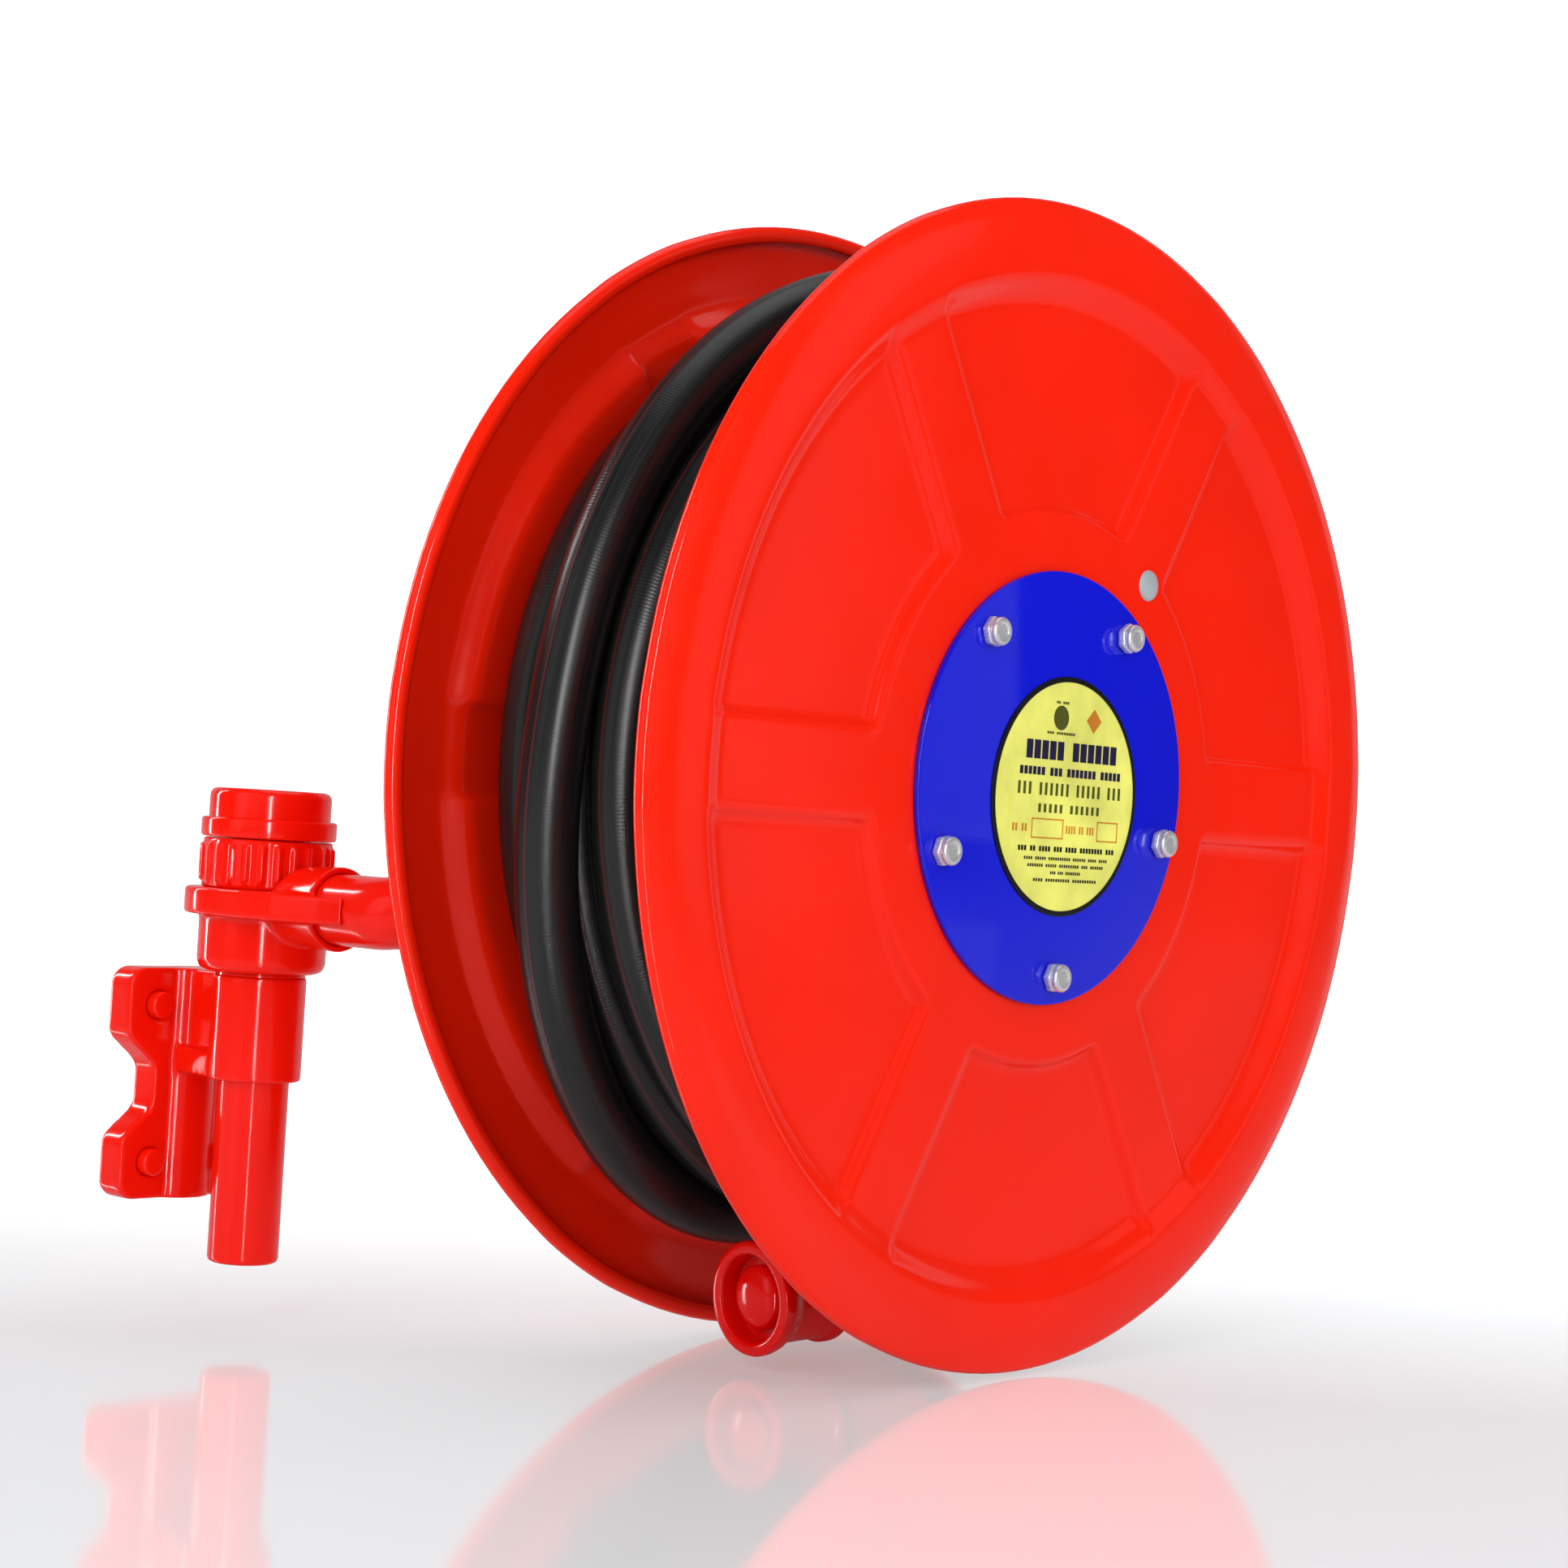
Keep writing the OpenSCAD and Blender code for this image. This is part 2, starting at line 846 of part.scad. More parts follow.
module hose_coil() {
    corner = 9;
    pocket_from = outlet_angle - 24.5;
    pocket_sweep = 34.5;
    color("dimgray")
        difference() {
            union() {
                on_reel()
                    spun()
                        polygon([[drum_r + 0.3, -pack_half], [pack_r - corner, -pack_half],
                            [pack_r, -pack_half + corner], [pack_r, pack_half - corner],
                            [pack_r - corner, pack_half], [drum_r + 0.3, pack_half]]);
                on_reel(top_lane)
                    spun(top_turn_sweep, top_turn_from)
                        translate([top_turn_r, 0])
                            circle(r = hose_r, $fn = 48);
            }
            on_reel()
                spun(pocket_sweep, pocket_from)
                    translate([drum_r - 1, -pack_half - 1])
                        square([40, pack_half + lane_1 + 25]);
        }
}

function dot(a, b) = a[0] * b[0] + a[1] * b[1] + a[2] * b[2];
function unit(v) = v / norm(v);

// Point of a Catmull-Rom curve between p[i] and p[i + 1]; the ends are mirrored to give end tangents
function spline_at(p, i, t) =
    let (
        a = i == 0 ? 2 * p[0] - p[1] : p[i - 1],
        b = p[i],
        c = p[i + 1],
        d = i + 2 < len(p) ? p[i + 2] : 2 * p[i + 1] - p[i]
    )
    (2 * b + (c - a) * t + (2 * a - 5 * b + 4 * c - d) * t * t + (3 * b - a - 3 * c + d) * t * t * t) / 2;

function smooth_route(p, steps) =
    concat([for (i = [0 : len(p) - 2], k = [0 : steps - 1]) spline_at(p, i, k / steps)], [p[len(p) - 1]]);

function heading(p, i) = unit(p[min(i + 1, len(p) - 1)] - p[max(i - 1, 0)]);

// Ring of the tube round point i; its first side faces away from +X
function ring_at(p, i, r) =
    let (
        t = heading(p, i),
        u = unit([1, 0, 0] - t * dot([1, 0, 0], t)),
        v = cross(t, u)
    )
    [for (k = [0 : tube_sides - 1])
        p[i] + r * (cos(k * 360 / tube_sides) * u + sin(k * 360 / tube_sides) * v)];

module swept_tube(route, steps, r) {
    p = smooth_route(route, steps);
    n = tube_sides;
    last = len(p) - 1;
    points = [for (i = [0 : last]) each ring_at(p, i, r)];
    sides = [for (i = [0 : last - 1], k = [0 : n - 1])
        [i * n + k, i * n + (k + 1) % n, (i + 1) * n + (k + 1) % n, (i + 1) * n + k]];
    first_cap = [for (k = [n - 1 : -1 : 0]) k];
    last_cap = [for (k = [0 : n - 1]) last * n + k];
    polyhedron(points = points, faces = concat([first_cap, last_cap], sides));
}

module hose_tail() {
    color("dimgray")
        swept_tube(tail_route, tail_steps, hose_r);
}

// ---------- nozzle ----------

module hose_ferrule() {
    ferrule_r = 16.6;
    front = -78;
    color("firebrick")
        at_nozzle()
            difference() {
                translate([0, 0, -nozzle_back])
                    cylinder(r = ferrule_r, h = nozzle_back + front);
                translate([0, 0, -nozzle_back - 1])
                    cylinder(r = barb_r, h = nozzle_back + front + 2);
            }
}

module nozzle_body() {
    color("red")
        at_nozzle()
            difference() {
                rotate_extrude()
                    polygon([[0, -nozzle_back + 4], [barb_r - snug, -nozzle_back + 4],
                        [barb_r - snug, -78], [16, -78], [17.5, -74], [17.5, -66], [14, -60],
                        [14, -52], [18.5, -52], [18.5, -46.4],
                        [14, -46.4], [14, -12], [0, -12]]);
                translate([0, 0, -nozzle_back])
                    cylinder(r = 7.5, h = nozzle_back);
            }
}

module nozzle_pintle() {
    color("red")
        at_nozzle()
            rotate_extrude()
                polygon([[0, -40], [3, -40], [3, -32], [7.4, -30], [7.4, -27], [3, -25],
                    [3, -10.6], [15, -10.6],
                    [15, -5], [13, -3], [8, -1.6], [0, -1]]);
}

module nozzle_seal() {
    color("black")
        at_nozzle()
            translate([0, 0, -48.9])
                o_ring(20.2, 1.6);
}

module nozzle_sleeve() {
    bore_r = 14 + run;
    color("red")
        at_nozzle()
            rotate_extrude()
                polygon([[bore_r, -46], [24, -46], [24, -40], [22, -38], [22, -15], [26, -8], [26.6, -5],
                    [26.6, -1.5], [25, 0], [21.5, 0], [20, -1.5], [20, -11], [bore_r, -11]]);
}

wall_bracket();
wall_screws();
inlet_pipe();
thrust_washer();
thrust_collar();
top_cap();
swivel_body();
grip_nut();
lower_swivel_bush();
upper_swivel_bush();
swivel_seals();
swing_arm();
hub_shaft();
shaft_washer();
shaft_circlip();
front_disc();
back_disc();
drum_core();
front_spider();
rear_spider();
water_hub();
front_hub_bush();
rear_hub_bush();
hub_seals();
hub_plate();
rear_hub_plate();
hub_bolts();
hub_nuts();
label_plate();
disc_plug();
outlet_elbow();
hose_clip();
hose_start();
hose_coil();
hose_tail();
hose_ferrule();
nozzle_body();
nozzle_pintle();
nozzle_seal();
nozzle_sleeve();
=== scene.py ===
"""Visual model of a swinging fire hose reel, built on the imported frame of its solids.

Each sub-assembly is a class that holds its sizes in metres, builds its meshes and dresses them.
The reel turns about an axis along +X, and its pieces are placed from the middle of that axis.
"""
import logging
import math
from dataclasses import dataclass
from enum import Enum
from typing import Callable, Optional, Sequence

import bmesh
import bpy
from mathutils import Matrix, Vector


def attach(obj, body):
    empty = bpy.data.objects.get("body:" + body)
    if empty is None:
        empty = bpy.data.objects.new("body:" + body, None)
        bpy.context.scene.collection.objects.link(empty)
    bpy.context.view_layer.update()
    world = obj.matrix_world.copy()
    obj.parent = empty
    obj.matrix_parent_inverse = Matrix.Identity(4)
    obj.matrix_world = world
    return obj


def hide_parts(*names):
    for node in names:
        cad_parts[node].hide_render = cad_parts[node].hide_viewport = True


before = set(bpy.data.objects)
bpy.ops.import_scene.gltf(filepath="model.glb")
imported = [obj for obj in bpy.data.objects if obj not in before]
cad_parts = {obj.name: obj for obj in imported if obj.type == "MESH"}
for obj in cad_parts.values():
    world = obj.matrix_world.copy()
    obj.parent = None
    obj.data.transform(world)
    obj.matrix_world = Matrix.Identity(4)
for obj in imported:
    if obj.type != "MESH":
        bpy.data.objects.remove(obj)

logging.basicConfig(level=logging.INFO, format="%(message)s")
LOG = logging.getLogger("hose_reel")

Point = tuple[float, float, float]
Profile = Sequence[tuple[float, float]]

REEL_AXIS = Vector((0.280, 0.226, 0.168))
PIVOT = Vector((0.064, 0.0, 0.0))
HALF_GAP = 0.077
HUB_FACE = 0.0792
FLOOR_Z = -0.1085
PIPE_RADIUS = 0.01685
Z_TO_X = Matrix(((0, 0, 1), (1, 0, 0), (0, 1, 0))).to_4x4()
ON_PIVOT = Matrix.Translation(PIVOT)
SKIN_OUTPUTS = (("Colour", "NodeSocketColor"), ("Roughness", "NodeSocketFloat"),
                ("Height", "NodeSocketFloat"))


class Body(str, Enum):
    """The moving bodies that pieces ride on."""

    MOUNT = "wall_mount"
    SWING = "swing"
    REEL = "reel"
    GRIP = "nozzle_grip"


# ---------------------------------------------------------------- mesh helpers


def mesh_object(name: str, points: Sequence[Point], faces: Sequence[Sequence[int]],
                edges: Sequence[tuple[int, int]] = ()) -> bpy.types.Object:
    """Makes a mesh object at the origin and links it to the scene.

    Args:
        name: Name of the object and of its mesh.
        points: Vertex places.
        faces: Vertex numbers of each face.
        edges: Loose edges, for a profile.

    Returns:
        The new object.
    """
    mesh = bpy.data.meshes.new(name)
    mesh.from_pydata([tuple(p) for p in points], list(edges), [tuple(f) for f in faces])
    mesh.update()
    obj = bpy.data.objects.new(name, mesh)
    bpy.context.scene.collection.objects.link(obj)
    return obj


def ring_faces(rings: int, count: int) -> list[tuple[int, ...]]:
    """Faces of a closed skin over rings of points, with both ends capped.

    Args:
        rings: Number of rings.
        count: Points in each ring.

    Returns:
        The side faces, then the first cap and the last.
    """
    faces = [(i * count + k, i * count + (k + 1) % count, (i + 1) * count + (k + 1) % count,
              (i + 1) * count + k) for i in range(rings - 1) for k in range(count)]
    faces.append(tuple(range(count - 1, -1, -1)))
    faces.append(tuple((rings - 1) * count + k for k in range(count)))
    return faces


def prism(name: str, outline: Sequence[tuple[float, float]], low: float,
          high: float) -> bpy.types.Object:
    """Makes an upright prism from an outline that runs anticlockwise."""
    n = len(outline)
    points = [(x, y, z) for z in (low, high) for x, y in outline]
    faces = [tuple(range(n - 1, -1, -1)), tuple(range(n, 2 * n))]
    faces += [(k, (k + 1) % n, n + (k + 1) % n, n + k) for k in range(n)]
    return mesh_object(name, points, faces)


def smooth(obj: bpy.types.Object, quads_only: bool = False) -> None:
    """Shades a mesh smooth, or only its four sided faces."""
    for polygon in obj.data.polygons:
        polygon.use_smooth = not quads_only or polygon.loop_total == 4


def ramp(value: float, start: float, span: float, eased: bool = False) -> float:
    """Rises from 0 to 1 over a span, straight or eased at both ends."""
    share = min(max((value - start) / span, 0.0), 1.0)
    return share * share * (3.0 - 2.0 * share) if eased else share


def stack(obj: bpy.types.Object, kind: str, **settings: object) -> bpy.types.Modifier:
    """Adds one modifier to a piece.

    Args:
        obj: The piece.
        kind: Modifier type, such as "BEVEL".
        settings: Values to set on the modifier.

    Returns:
        The new modifier.
    """
    modifier = obj.modifiers.new(kind.title(), kind)
    for key, value in settings.items():
        setattr(modifier, key, value)
    return modifier


def bevel(obj: bpy.types.Object, width: float, segments: int = 3, angle: float = 30.0) -> None:
    """Rounds every edge of a piece that is sharper than an angle.

    Args:
        obj: The piece.
        width: Width of the rounding in metres.
        segments: Number of facets across it.
        angle: Smallest edge angle that is rounded, in degrees.
    """
    stack(obj, "BEVEL", width=width, segments=segments, limit_method="ANGLE",
          angle_limit=math.radians(angle))


def soften(obj: bpy.types.Object, levels: int) -> None:
    """Adds a subdivision surface with the same level in view and in render."""
    stack(obj, "SUBSURF", levels=levels, render_levels=levels)


def apply_stack(obj: bpy.types.Object) -> None:
    """Bakes a piece's modifiers into its mesh."""
    bpy.context.view_layer.update()
    graph = bpy.context.evaluated_depsgraph_get()
    mesh = bpy.data.meshes.new_from_object(obj.evaluated_get(graph))
    old = obj.data
    obj.modifiers.clear()
    obj.data = mesh
    bpy.data.meshes.remove(old)


def place(obj: bpy.types.Object, matrix: Matrix) -> bpy.types.Object:
    """Moves a piece's mesh by a matrix and leaves the object itself at the origin."""
    obj.data.transform(matrix)
    obj.data.update()
    return obj


def shade(obj: bpy.types.Object, sharp: float = 35.0) -> bpy.types.Object:
    """Shades a mesh smooth, apart from edges sharper than an angle in degrees."""
    smooth(obj)
    obj.data.set_sharp_from_angle(angle=math.radians(sharp))
    return obj


def turned(name: str, profile: Profile, matrix: Matrix, steps: int = 96, rounding: float = 0.0,
           segments: int = 3) -> bpy.types.Object:
    """Turns a profile of (radius, height) about Z, rounds its corners and puts it in place.

    Args:
        name: Name of the piece.
        profile: Points from the top of the shape to its bottom, on its outside.
        matrix: Place of the piece.
        steps: Facets round the shape.
        rounding: Width of the rounding of its corners, or 0.
        segments: Facets across a rounding.

    Returns:
        The finished piece.
    """
    points = [(radius, 0.0, height) for radius, height in profile]
    edges = [(i, i + 1) for i in range(len(points) - 1)]
    obj = mesh_object(name, points, (), edges)
    stack(obj, "SCREW", axis="Z", angle=math.tau, steps=steps, render_steps=steps,
          use_merge_vertices=True, merge_threshold=2e-6, use_smooth_shade=True)
    if rounding > 0.0:
        bevel(obj, rounding, segments, 24.0)
    apply_stack(obj)
    place(obj, matrix)
    return shade(obj, 50.0)


def along_x(offset: float, angle: float = 0.0, radius: float = 0.0) -> Matrix:
    """Matrix that sets a shape's Z along the reel axis.

    Args:
        offset: Distance beyond the middle of the reel along +X.
        angle: Degrees from +Y towards +Z at which the shape stands off the axis.
        radius: Distance of the shape from the axis.

    Returns:
        The matrix from the shape's own frame to the row frame.
    """
    a = math.radians(angle)
    at = REEL_AXIS + Vector((offset, radius * math.cos(a), radius * math.sin(a)))
    return Matrix.Translation(at) @ Z_TO_X


def boxes(name: str, blocks: Sequence[tuple[Point, Point]]) -> bpy.types.Object:
    """Makes one mesh of separate blocks, each given by its middle and its size."""
    points: list[Point] = []
    faces: list[tuple[int, ...]] = []
    for (cx, cy, cz), (sx, sy, sz) in blocks:
        base = len(points)
        for dz in (-0.5, 0.5):
            for dx, dy in ((-0.5, -0.5), (0.5, -0.5), (0.5, 0.5), (-0.5, 0.5)):
                points.append((cx + dx * sx, cy + dy * sy, cz + dz * sz))
        for quad in ((3, 2, 1, 0), (4, 5, 6, 7), (0, 1, 5, 4), (1, 2, 6, 5), (2, 3, 7, 6),
                     (3, 0, 4, 7)):
            faces.append(tuple(base + i for i in quad))
    return mesh_object(name, points, faces)


def casting_of(name: str, node: str, voxel: float, passes: int) -> bpy.types.Object:
    """Copies a node's solid and rounds it over, as a casting under thick enamel.

    Args:
        name: Name of the new piece.
        node: Name of the node it stands for.
        voxel: Grid size of the remesh in metres.
        passes: Smoothing passes, which set how round the edges get.

    Returns:
        The new piece, at the origin.
    """
    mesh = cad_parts[node].data.copy()
    mesh.materials.clear()
    work = bmesh.new()
    work.from_mesh(mesh)
    bmesh.ops.remove_doubles(work, verts=work.verts, dist=1e-6)
    work.to_mesh(mesh)
    work.free()
    obj = bpy.data.objects.new(name, mesh)
    bpy.context.scene.collection.objects.link(obj)
    stack(obj, "REMESH", mode="VOXEL", voxel_size=voxel, use_smooth_shade=True)
    stack(obj, "SMOOTH", factor=0.5, iterations=passes)
    apply_stack(obj)
    smooth(obj)
    return obj


def dress(obj: bpy.types.Object, finish: "Finish", body: Body, slot: str,
          *nodes: str) -> bpy.types.Object:
    """Gives a new piece its finish and its body, and hides the nodes it stands for.

    Args:
        obj: The piece.
        finish: What it is covered with.
        body: The moving body it rides on.
        slot: Not used.
        nodes: Nodes that it replaces.

    Returns:
        The piece.
    """
    obj.data.materials.clear()
    obj.data.materials.append(finish.material())
    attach(obj, body.value)
    if nodes:
        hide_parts(*nodes)
    LOG.info("%s: %s on %s", obj.name, finish.name, body.value)
    return obj


def dress_node(node: str, finish: "Finish") -> None:
    """Gives a node that stays in view its finish."""
    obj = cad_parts[node]
    if not obj.material_slots:
        obj.data.materials.append(finish.material())
    for slot in obj.material_slots:
        slot.material = finish.material()
    LOG.info("%s: %s", node, finish.name)


# ---------------------------------------------------------------- shader groups


class NodeMaker:
    """Adds nodes to a tree from left to right and links them by short calls."""

    def __init__(self, tree: bpy.types.NodeTree) -> None:
        """Keeps the tree and starts at its left edge."""
        self.tree = tree
        self.across = 0

    def add(self, kind: str, inputs: Optional[dict] = None, **settings: object) -> bpy.types.Node:
        """Adds one node.

        Args:
            kind: Node type.
            inputs: Socket name or number to a value or to another node's output.
            settings: Attributes of the node.

        Returns:
            The new node.
        """
        node = self.tree.nodes.new(kind)
        node.location = (self.across, 0)
        self.across += 180
        for key, value in settings.items():
            setattr(node, key, value)
        for key, value in (inputs or {}).items():
            socket = node.inputs[key]
            if isinstance(value, bpy.types.NodeSocket):
                self.tree.links.new(value, socket)
            else:
                socket.default_value = value
        return node

    def math(self, operation: str, *values: object) -> bpy.types.NodeSocket:
        """Adds a math node and returns its value."""
        inputs = dict(enumerate(values))
        return self.add("ShaderNodeMath", inputs, operation=operation).outputs[0]

    def remap(self, value: object, low: float, high: float, to_low: float,
              to_high: float) -> bpy.types.NodeSocket:
        """Adds a clamped map range and returns its result."""
        inputs = {"Value": value, "From Min": low, "From Max": high, "To Min": to_low,
                  "To Max": to_high}
        return self.add("ShaderNodeMapRange", inputs).outputs["Result"]

    def noise(self, at: object, scale: object, detail: float) -> bpy.types.NodeSocket:
        """Adds a noise texture and returns its strength."""
        inputs = {"Vector": at, "Scale": scale, "Detail": detail}
        return self.add("ShaderNodeTexNoise", inputs).outputs["Fac"]

    def tint(self, colour: bpy.types.NodeSocket,
             tone: bpy.types.NodeSocket) -> bpy.types.NodeSocket:
        """Makes a colour lighter or darker by a tone and returns it."""
        inputs = {"Hue": 0.5, "Saturation": 1.0, "Fac": 1.0, "Value": tone, "Color": colour}
        return self.add("ShaderNodeHueSaturation", inputs).outputs["Color"]

    def finish_skin(self, result: bpy.types.Node, *sockets: bpy.types.NodeSocket) -> None:
        """Feeds the colour, roughness and height of a skin group to its output."""
        for (label, _), socket in zip(SKIN_OUTPUTS, sockets):
            self.tree.links.new(socket, result.inputs[label])

    def blend(self, factor: object, first: object, second: object) -> bpy.types.NodeSocket:
        """Adds a colour mix and returns its colour."""
        inputs = {0: factor, 6: first, 7: second}
        return self.add("ShaderNodeMix", inputs, data_type="RGBA").outputs[2]


def new_group(name: str, inputs: Sequence[tuple[str, str, object]]) -> tuple[
        NodeMaker, bpy.types.Node, bpy.types.Node]:
    """Starts a skin group with named inputs and the usual three outputs.

    Args:
        name: Name of the group.
        inputs: Name, socket type and default of each input.

    Returns:
        The group's node maker, its input node and its output node.
    """
    tree = bpy.data.node_groups.new(name, "ShaderNodeTree")
    for label, kind, default in inputs:
        socket = tree.interface.new_socket(label, in_out="INPUT", socket_type=kind)
        if default is not None:
            socket.default_value = default
    for label, kind in SKIN_OUTPUTS:
        tree.interface.new_socket(label, in_out="OUTPUT", socket_type=kind)
    maker = NodeMaker(tree)
    return maker, maker.add("NodeGroupInput"), maker.add("NodeGroupOutput")


_GROUPS: dict[str, bpy.types.NodeTree] = {}


def once(name: str, build: Callable[[str], bpy.types.NodeTree]) -> bpy.types.NodeTree:
    """Builds a shader group the first time it is asked for, and returns it."""
    if name not in _GROUPS:
        _GROUPS[name] = build(name)
    return _GROUPS[name]


def enamel_skin(name: str) -> bpy.types.NodeTree:
    """Sprayed and stoved paint: slow colour drift, orange peel, a few dust nibs."""
    inputs = [("Coordinates", "NodeSocketVector", None),
              ("Colour", "NodeSocketColor", (1, 0, 0, 1)),
              ("Roughness", "NodeSocketFloat", 0.2),
              ("Peel Size", "NodeSocketFloat", 260.0),
              ("Sheet Wave", "NodeSocketFloat", 0.0)]
    make, given, result = new_group(name, inputs)
    at = given.outputs["Coordinates"]
    drift = make.noise(at, 9.0, 2.0)
    peel = make.noise(at, given.outputs["Peel Size"], 1.0)
    nibs = make.add("ShaderNodeTexVoronoi", {"Vector": at, "Scale": 75.0})
    nib = make.remap(nibs.outputs["Distance"], 0.02, 0.05, 1.0, 0.0)
    haze = make.noise(at, 38.0, 4.0)
    colour = make.tint(given.outputs["Colour"], make.remap(drift, 0.3, 0.7, 0.90, 1.0))
    rough = make.math("MULTIPLY", given.outputs["Roughness"],
                      make.remap(haze, 0.35, 0.7, 0.85, 1.25))
    wave = make.math("MULTIPLY", drift, given.outputs["Sheet Wave"])
    height = make.math("ADD", make.math("ADD", peel, make.math("MULTIPLY", nib, 0.35)), wave)
    make.finish_skin(result, colour, rough, height)
    return make.tree


def metal_grain(name: str) -> bpy.types.NodeTree:
    """Turned or plated metal: fine streaks, cloudy plating and small marks."""
    inputs = [("Coordinates", "NodeSocketVector", None),
              ("Colour", "NodeSocketColor", (0.7, 0.7, 0.7, 1)),
              ("Roughness", "NodeSocketFloat", 0.3),
              ("Stretch", "NodeSocketVector", (1.0, 8.0, 8.0))]
    make, given, result = new_group(name, inputs)
    at = given.outputs["Coordinates"]
    pulled = make.add("ShaderNodeVectorMath", {0: at, 1: given.outputs["Stretch"]},
                      operation="MULTIPLY").outputs["Vector"]
    streaks = make.noise(pulled, 420.0, 3.0)
    cloud = make.noise(at, 60.0, 3.0)
    colour = make.tint(given.outputs["Colour"], make.remap(cloud, 0.3, 0.7, 0.78, 1.0))
    rough = make.math("MULTIPLY", given.outputs["Roughness"],
                      make.remap(streaks, 0.3, 0.7, 0.7, 1.35))
    make.finish_skin(result, colour, rough, streaks)
    return make.tree


def mould_skin(name: str) -> bpy.types.NodeTree:
    """Moulded rubber or plastic: a faint grain with slightly uneven gloss and tone."""
    inputs = [("Coordinates", "NodeSocketVector", None),
              ("Colour", "NodeSocketColor", (0.1, 0.1, 0.1, 1)),
              ("Roughness", "NodeSocketFloat", 0.5),
              ("Grain", "NodeSocketFloat", 900.0)]
    make, given, result = new_group(name, inputs)
    at = given.outputs["Coordinates"]
    grain = make.noise(at, given.outputs["Grain"], 2.0)
    cloud = make.noise(at, 45.0, 3.0)
    colour = make.tint(given.outputs["Colour"], make.remap(cloud, 0.3, 0.7, 0.80, 1.08))
    rough = make.math("MULTIPLY", given.outputs["Roughness"],
                      make.remap(cloud, 0.3, 0.7, 1.12, 0.88))
    make.finish_skin(result, colour, rough, grain)
    return make.tree


def hose_skin(name: str) -> bpy.types.NodeTree:
    """Wrapped rubber hose: ribs across it, a mould line down each side, scuffed streaks along it.
    """
    inputs = [("Along And Round", "NodeSocketVector", None),
              ("Colour", "NodeSocketColor", (0.02, 0.02, 0.02, 1)),
              ("Line Colour", "NodeSocketColor", (0.09, 0.01, 0.012, 1)),
              ("Rib Pitch", "NodeSocketFloat", 0.0016)]
    make, given, result = new_group(name, inputs)
    parts = make.add("ShaderNodeSeparateXYZ", {0: given.outputs["Along And Round"]})
    along, round_ = parts.outputs["X"], parts.outputs["Y"]
    wave = make.math("SINE", make.math("MULTIPLY", along,
                                       make.math("DIVIDE", math.tau, given.outputs["Rib Pitch"])))
    spread = make.add("ShaderNodeCombineXYZ", {"X": make.math("MULTIPLY", along, 60.0),
                                              "Y": make.math("MULTIPLY", round_, 5.0)})
    patch = make.noise(spread.outputs[0], 0.35, 3.0)
    rib = make.math("MULTIPLY", wave, make.remap(patch, 0.4, 0.62, 0.25, 1.0))
    fold = make.math("PINGPONG", make.math("ADD", round_, 0.16), 0.25)
    line = make.remap(fold, 0.0, 0.012, 1.0, 0.0)
    streak_at = make.add("ShaderNodeCombineXYZ", {"X": make.math("MULTIPLY", along, 9.0),
                                                 "Y": make.math("MULTIPLY", round_, 60.0)})
    streak = make.noise(streak_at.outputs[0], 1.0, 4.0)
    cover = make.tint(given.outputs["Colour"], make.remap(streak, 0.3, 0.72, 0.75, 1.6))
    colour = make.blend(line, cover, given.outputs["Line Colour"])
    rough = make.remap(streak, 0.3, 0.7, 0.27, 0.40)
    height = make.math("ADD", make.math("MULTIPLY", rib, 0.5), make.math("MULTIPLY", line, -1.2))
    make.finish_skin(result, colour, rough, height)
    return make.tree


# ---------------------------------------------------------------- finishes


@dataclass(frozen=True)
class Finish:
    """What a piece is covered with, made into a material once."""

    name: str
    colour: Point

    def material(self) -> bpy.types.Material:
        """Returns the material of this finish, made the first time it is asked for."""
        found = bpy.data.materials.get(self.name)
        if found is None:
            found = bpy.data.materials.new(self.name)
            found.use_nodes = True
            found.diffuse_color = (*self.colour, 1.0)
            self.paint(found.node_tree)
        return found

    def paint(self, tree: bpy.types.NodeTree) -> None:
        """Builds the nodes. Each kind of finish has its own."""
        raise NotImplementedError

    def wire(self, tree: bpy.types.NodeTree, skin: Callable[[str], bpy.types.NodeTree],
             at: str, values: dict, bump: float, depth: float) -> bpy.types.Node:
        """Feeds a skin group into the shader's colour, roughness and normal.

        Args:
            tree: The material's nodes.
            skin: What builds the skin group.
            at: "Object" or "UV", the coordinates that it reads.
            values: Values of the group's inputs.
            bump: Strength of its relief.
            depth: Height of its relief in metres.

        Returns:
            The shader node.
        """
        make = NodeMaker(tree)
        shader = tree.nodes["Principled BSDF"]
        where = make.add("ShaderNodeTexCoord")
        group = make.add("ShaderNodeGroup", node_tree=once(skin.__name__, skin))
        tree.links.new(where.outputs[at], group.inputs[0])
        for key, value in values.items():
            group.inputs[key].default_value = value
        group.inputs["Colour"].default_value = (*self.colour, 1.0)
        relief = make.add("ShaderNodeBump", {"Strength": bump, "Distance": depth,
                                             "Height": group.outputs["Height"]})
        tree.links.new(group.outputs["Colour"], shader.inputs["Base Color"])
        tree.links.new(group.outputs["Roughness"], shader.inputs["Roughness"])
        tree.links.new(relief.outputs["Normal"], shader.inputs["Normal"])
        return shader


@dataclass(frozen=True)
class Enamel(Finish):
    """Stoved gloss paint on metal, or glossy coloured plastic."""

    roughness: float = 0.12
    specular: float = 0.35
    peel_size: float = 260.0
    peel_depth: float = 0.00003
    sheet_wave: float = 0.0

    def paint(self, tree: bpy.types.NodeTree) -> None:
        """Builds the paint's nodes."""
        values = {"Roughness": self.roughness, "Peel Size": self.peel_size,
                  "Sheet Wave": self.sheet_wave}
        shader = self.wire(tree, enamel_skin, "Object", values, 0.25, self.peel_depth)
        shader.inputs["Specular IOR Level"].default_value = self.specular


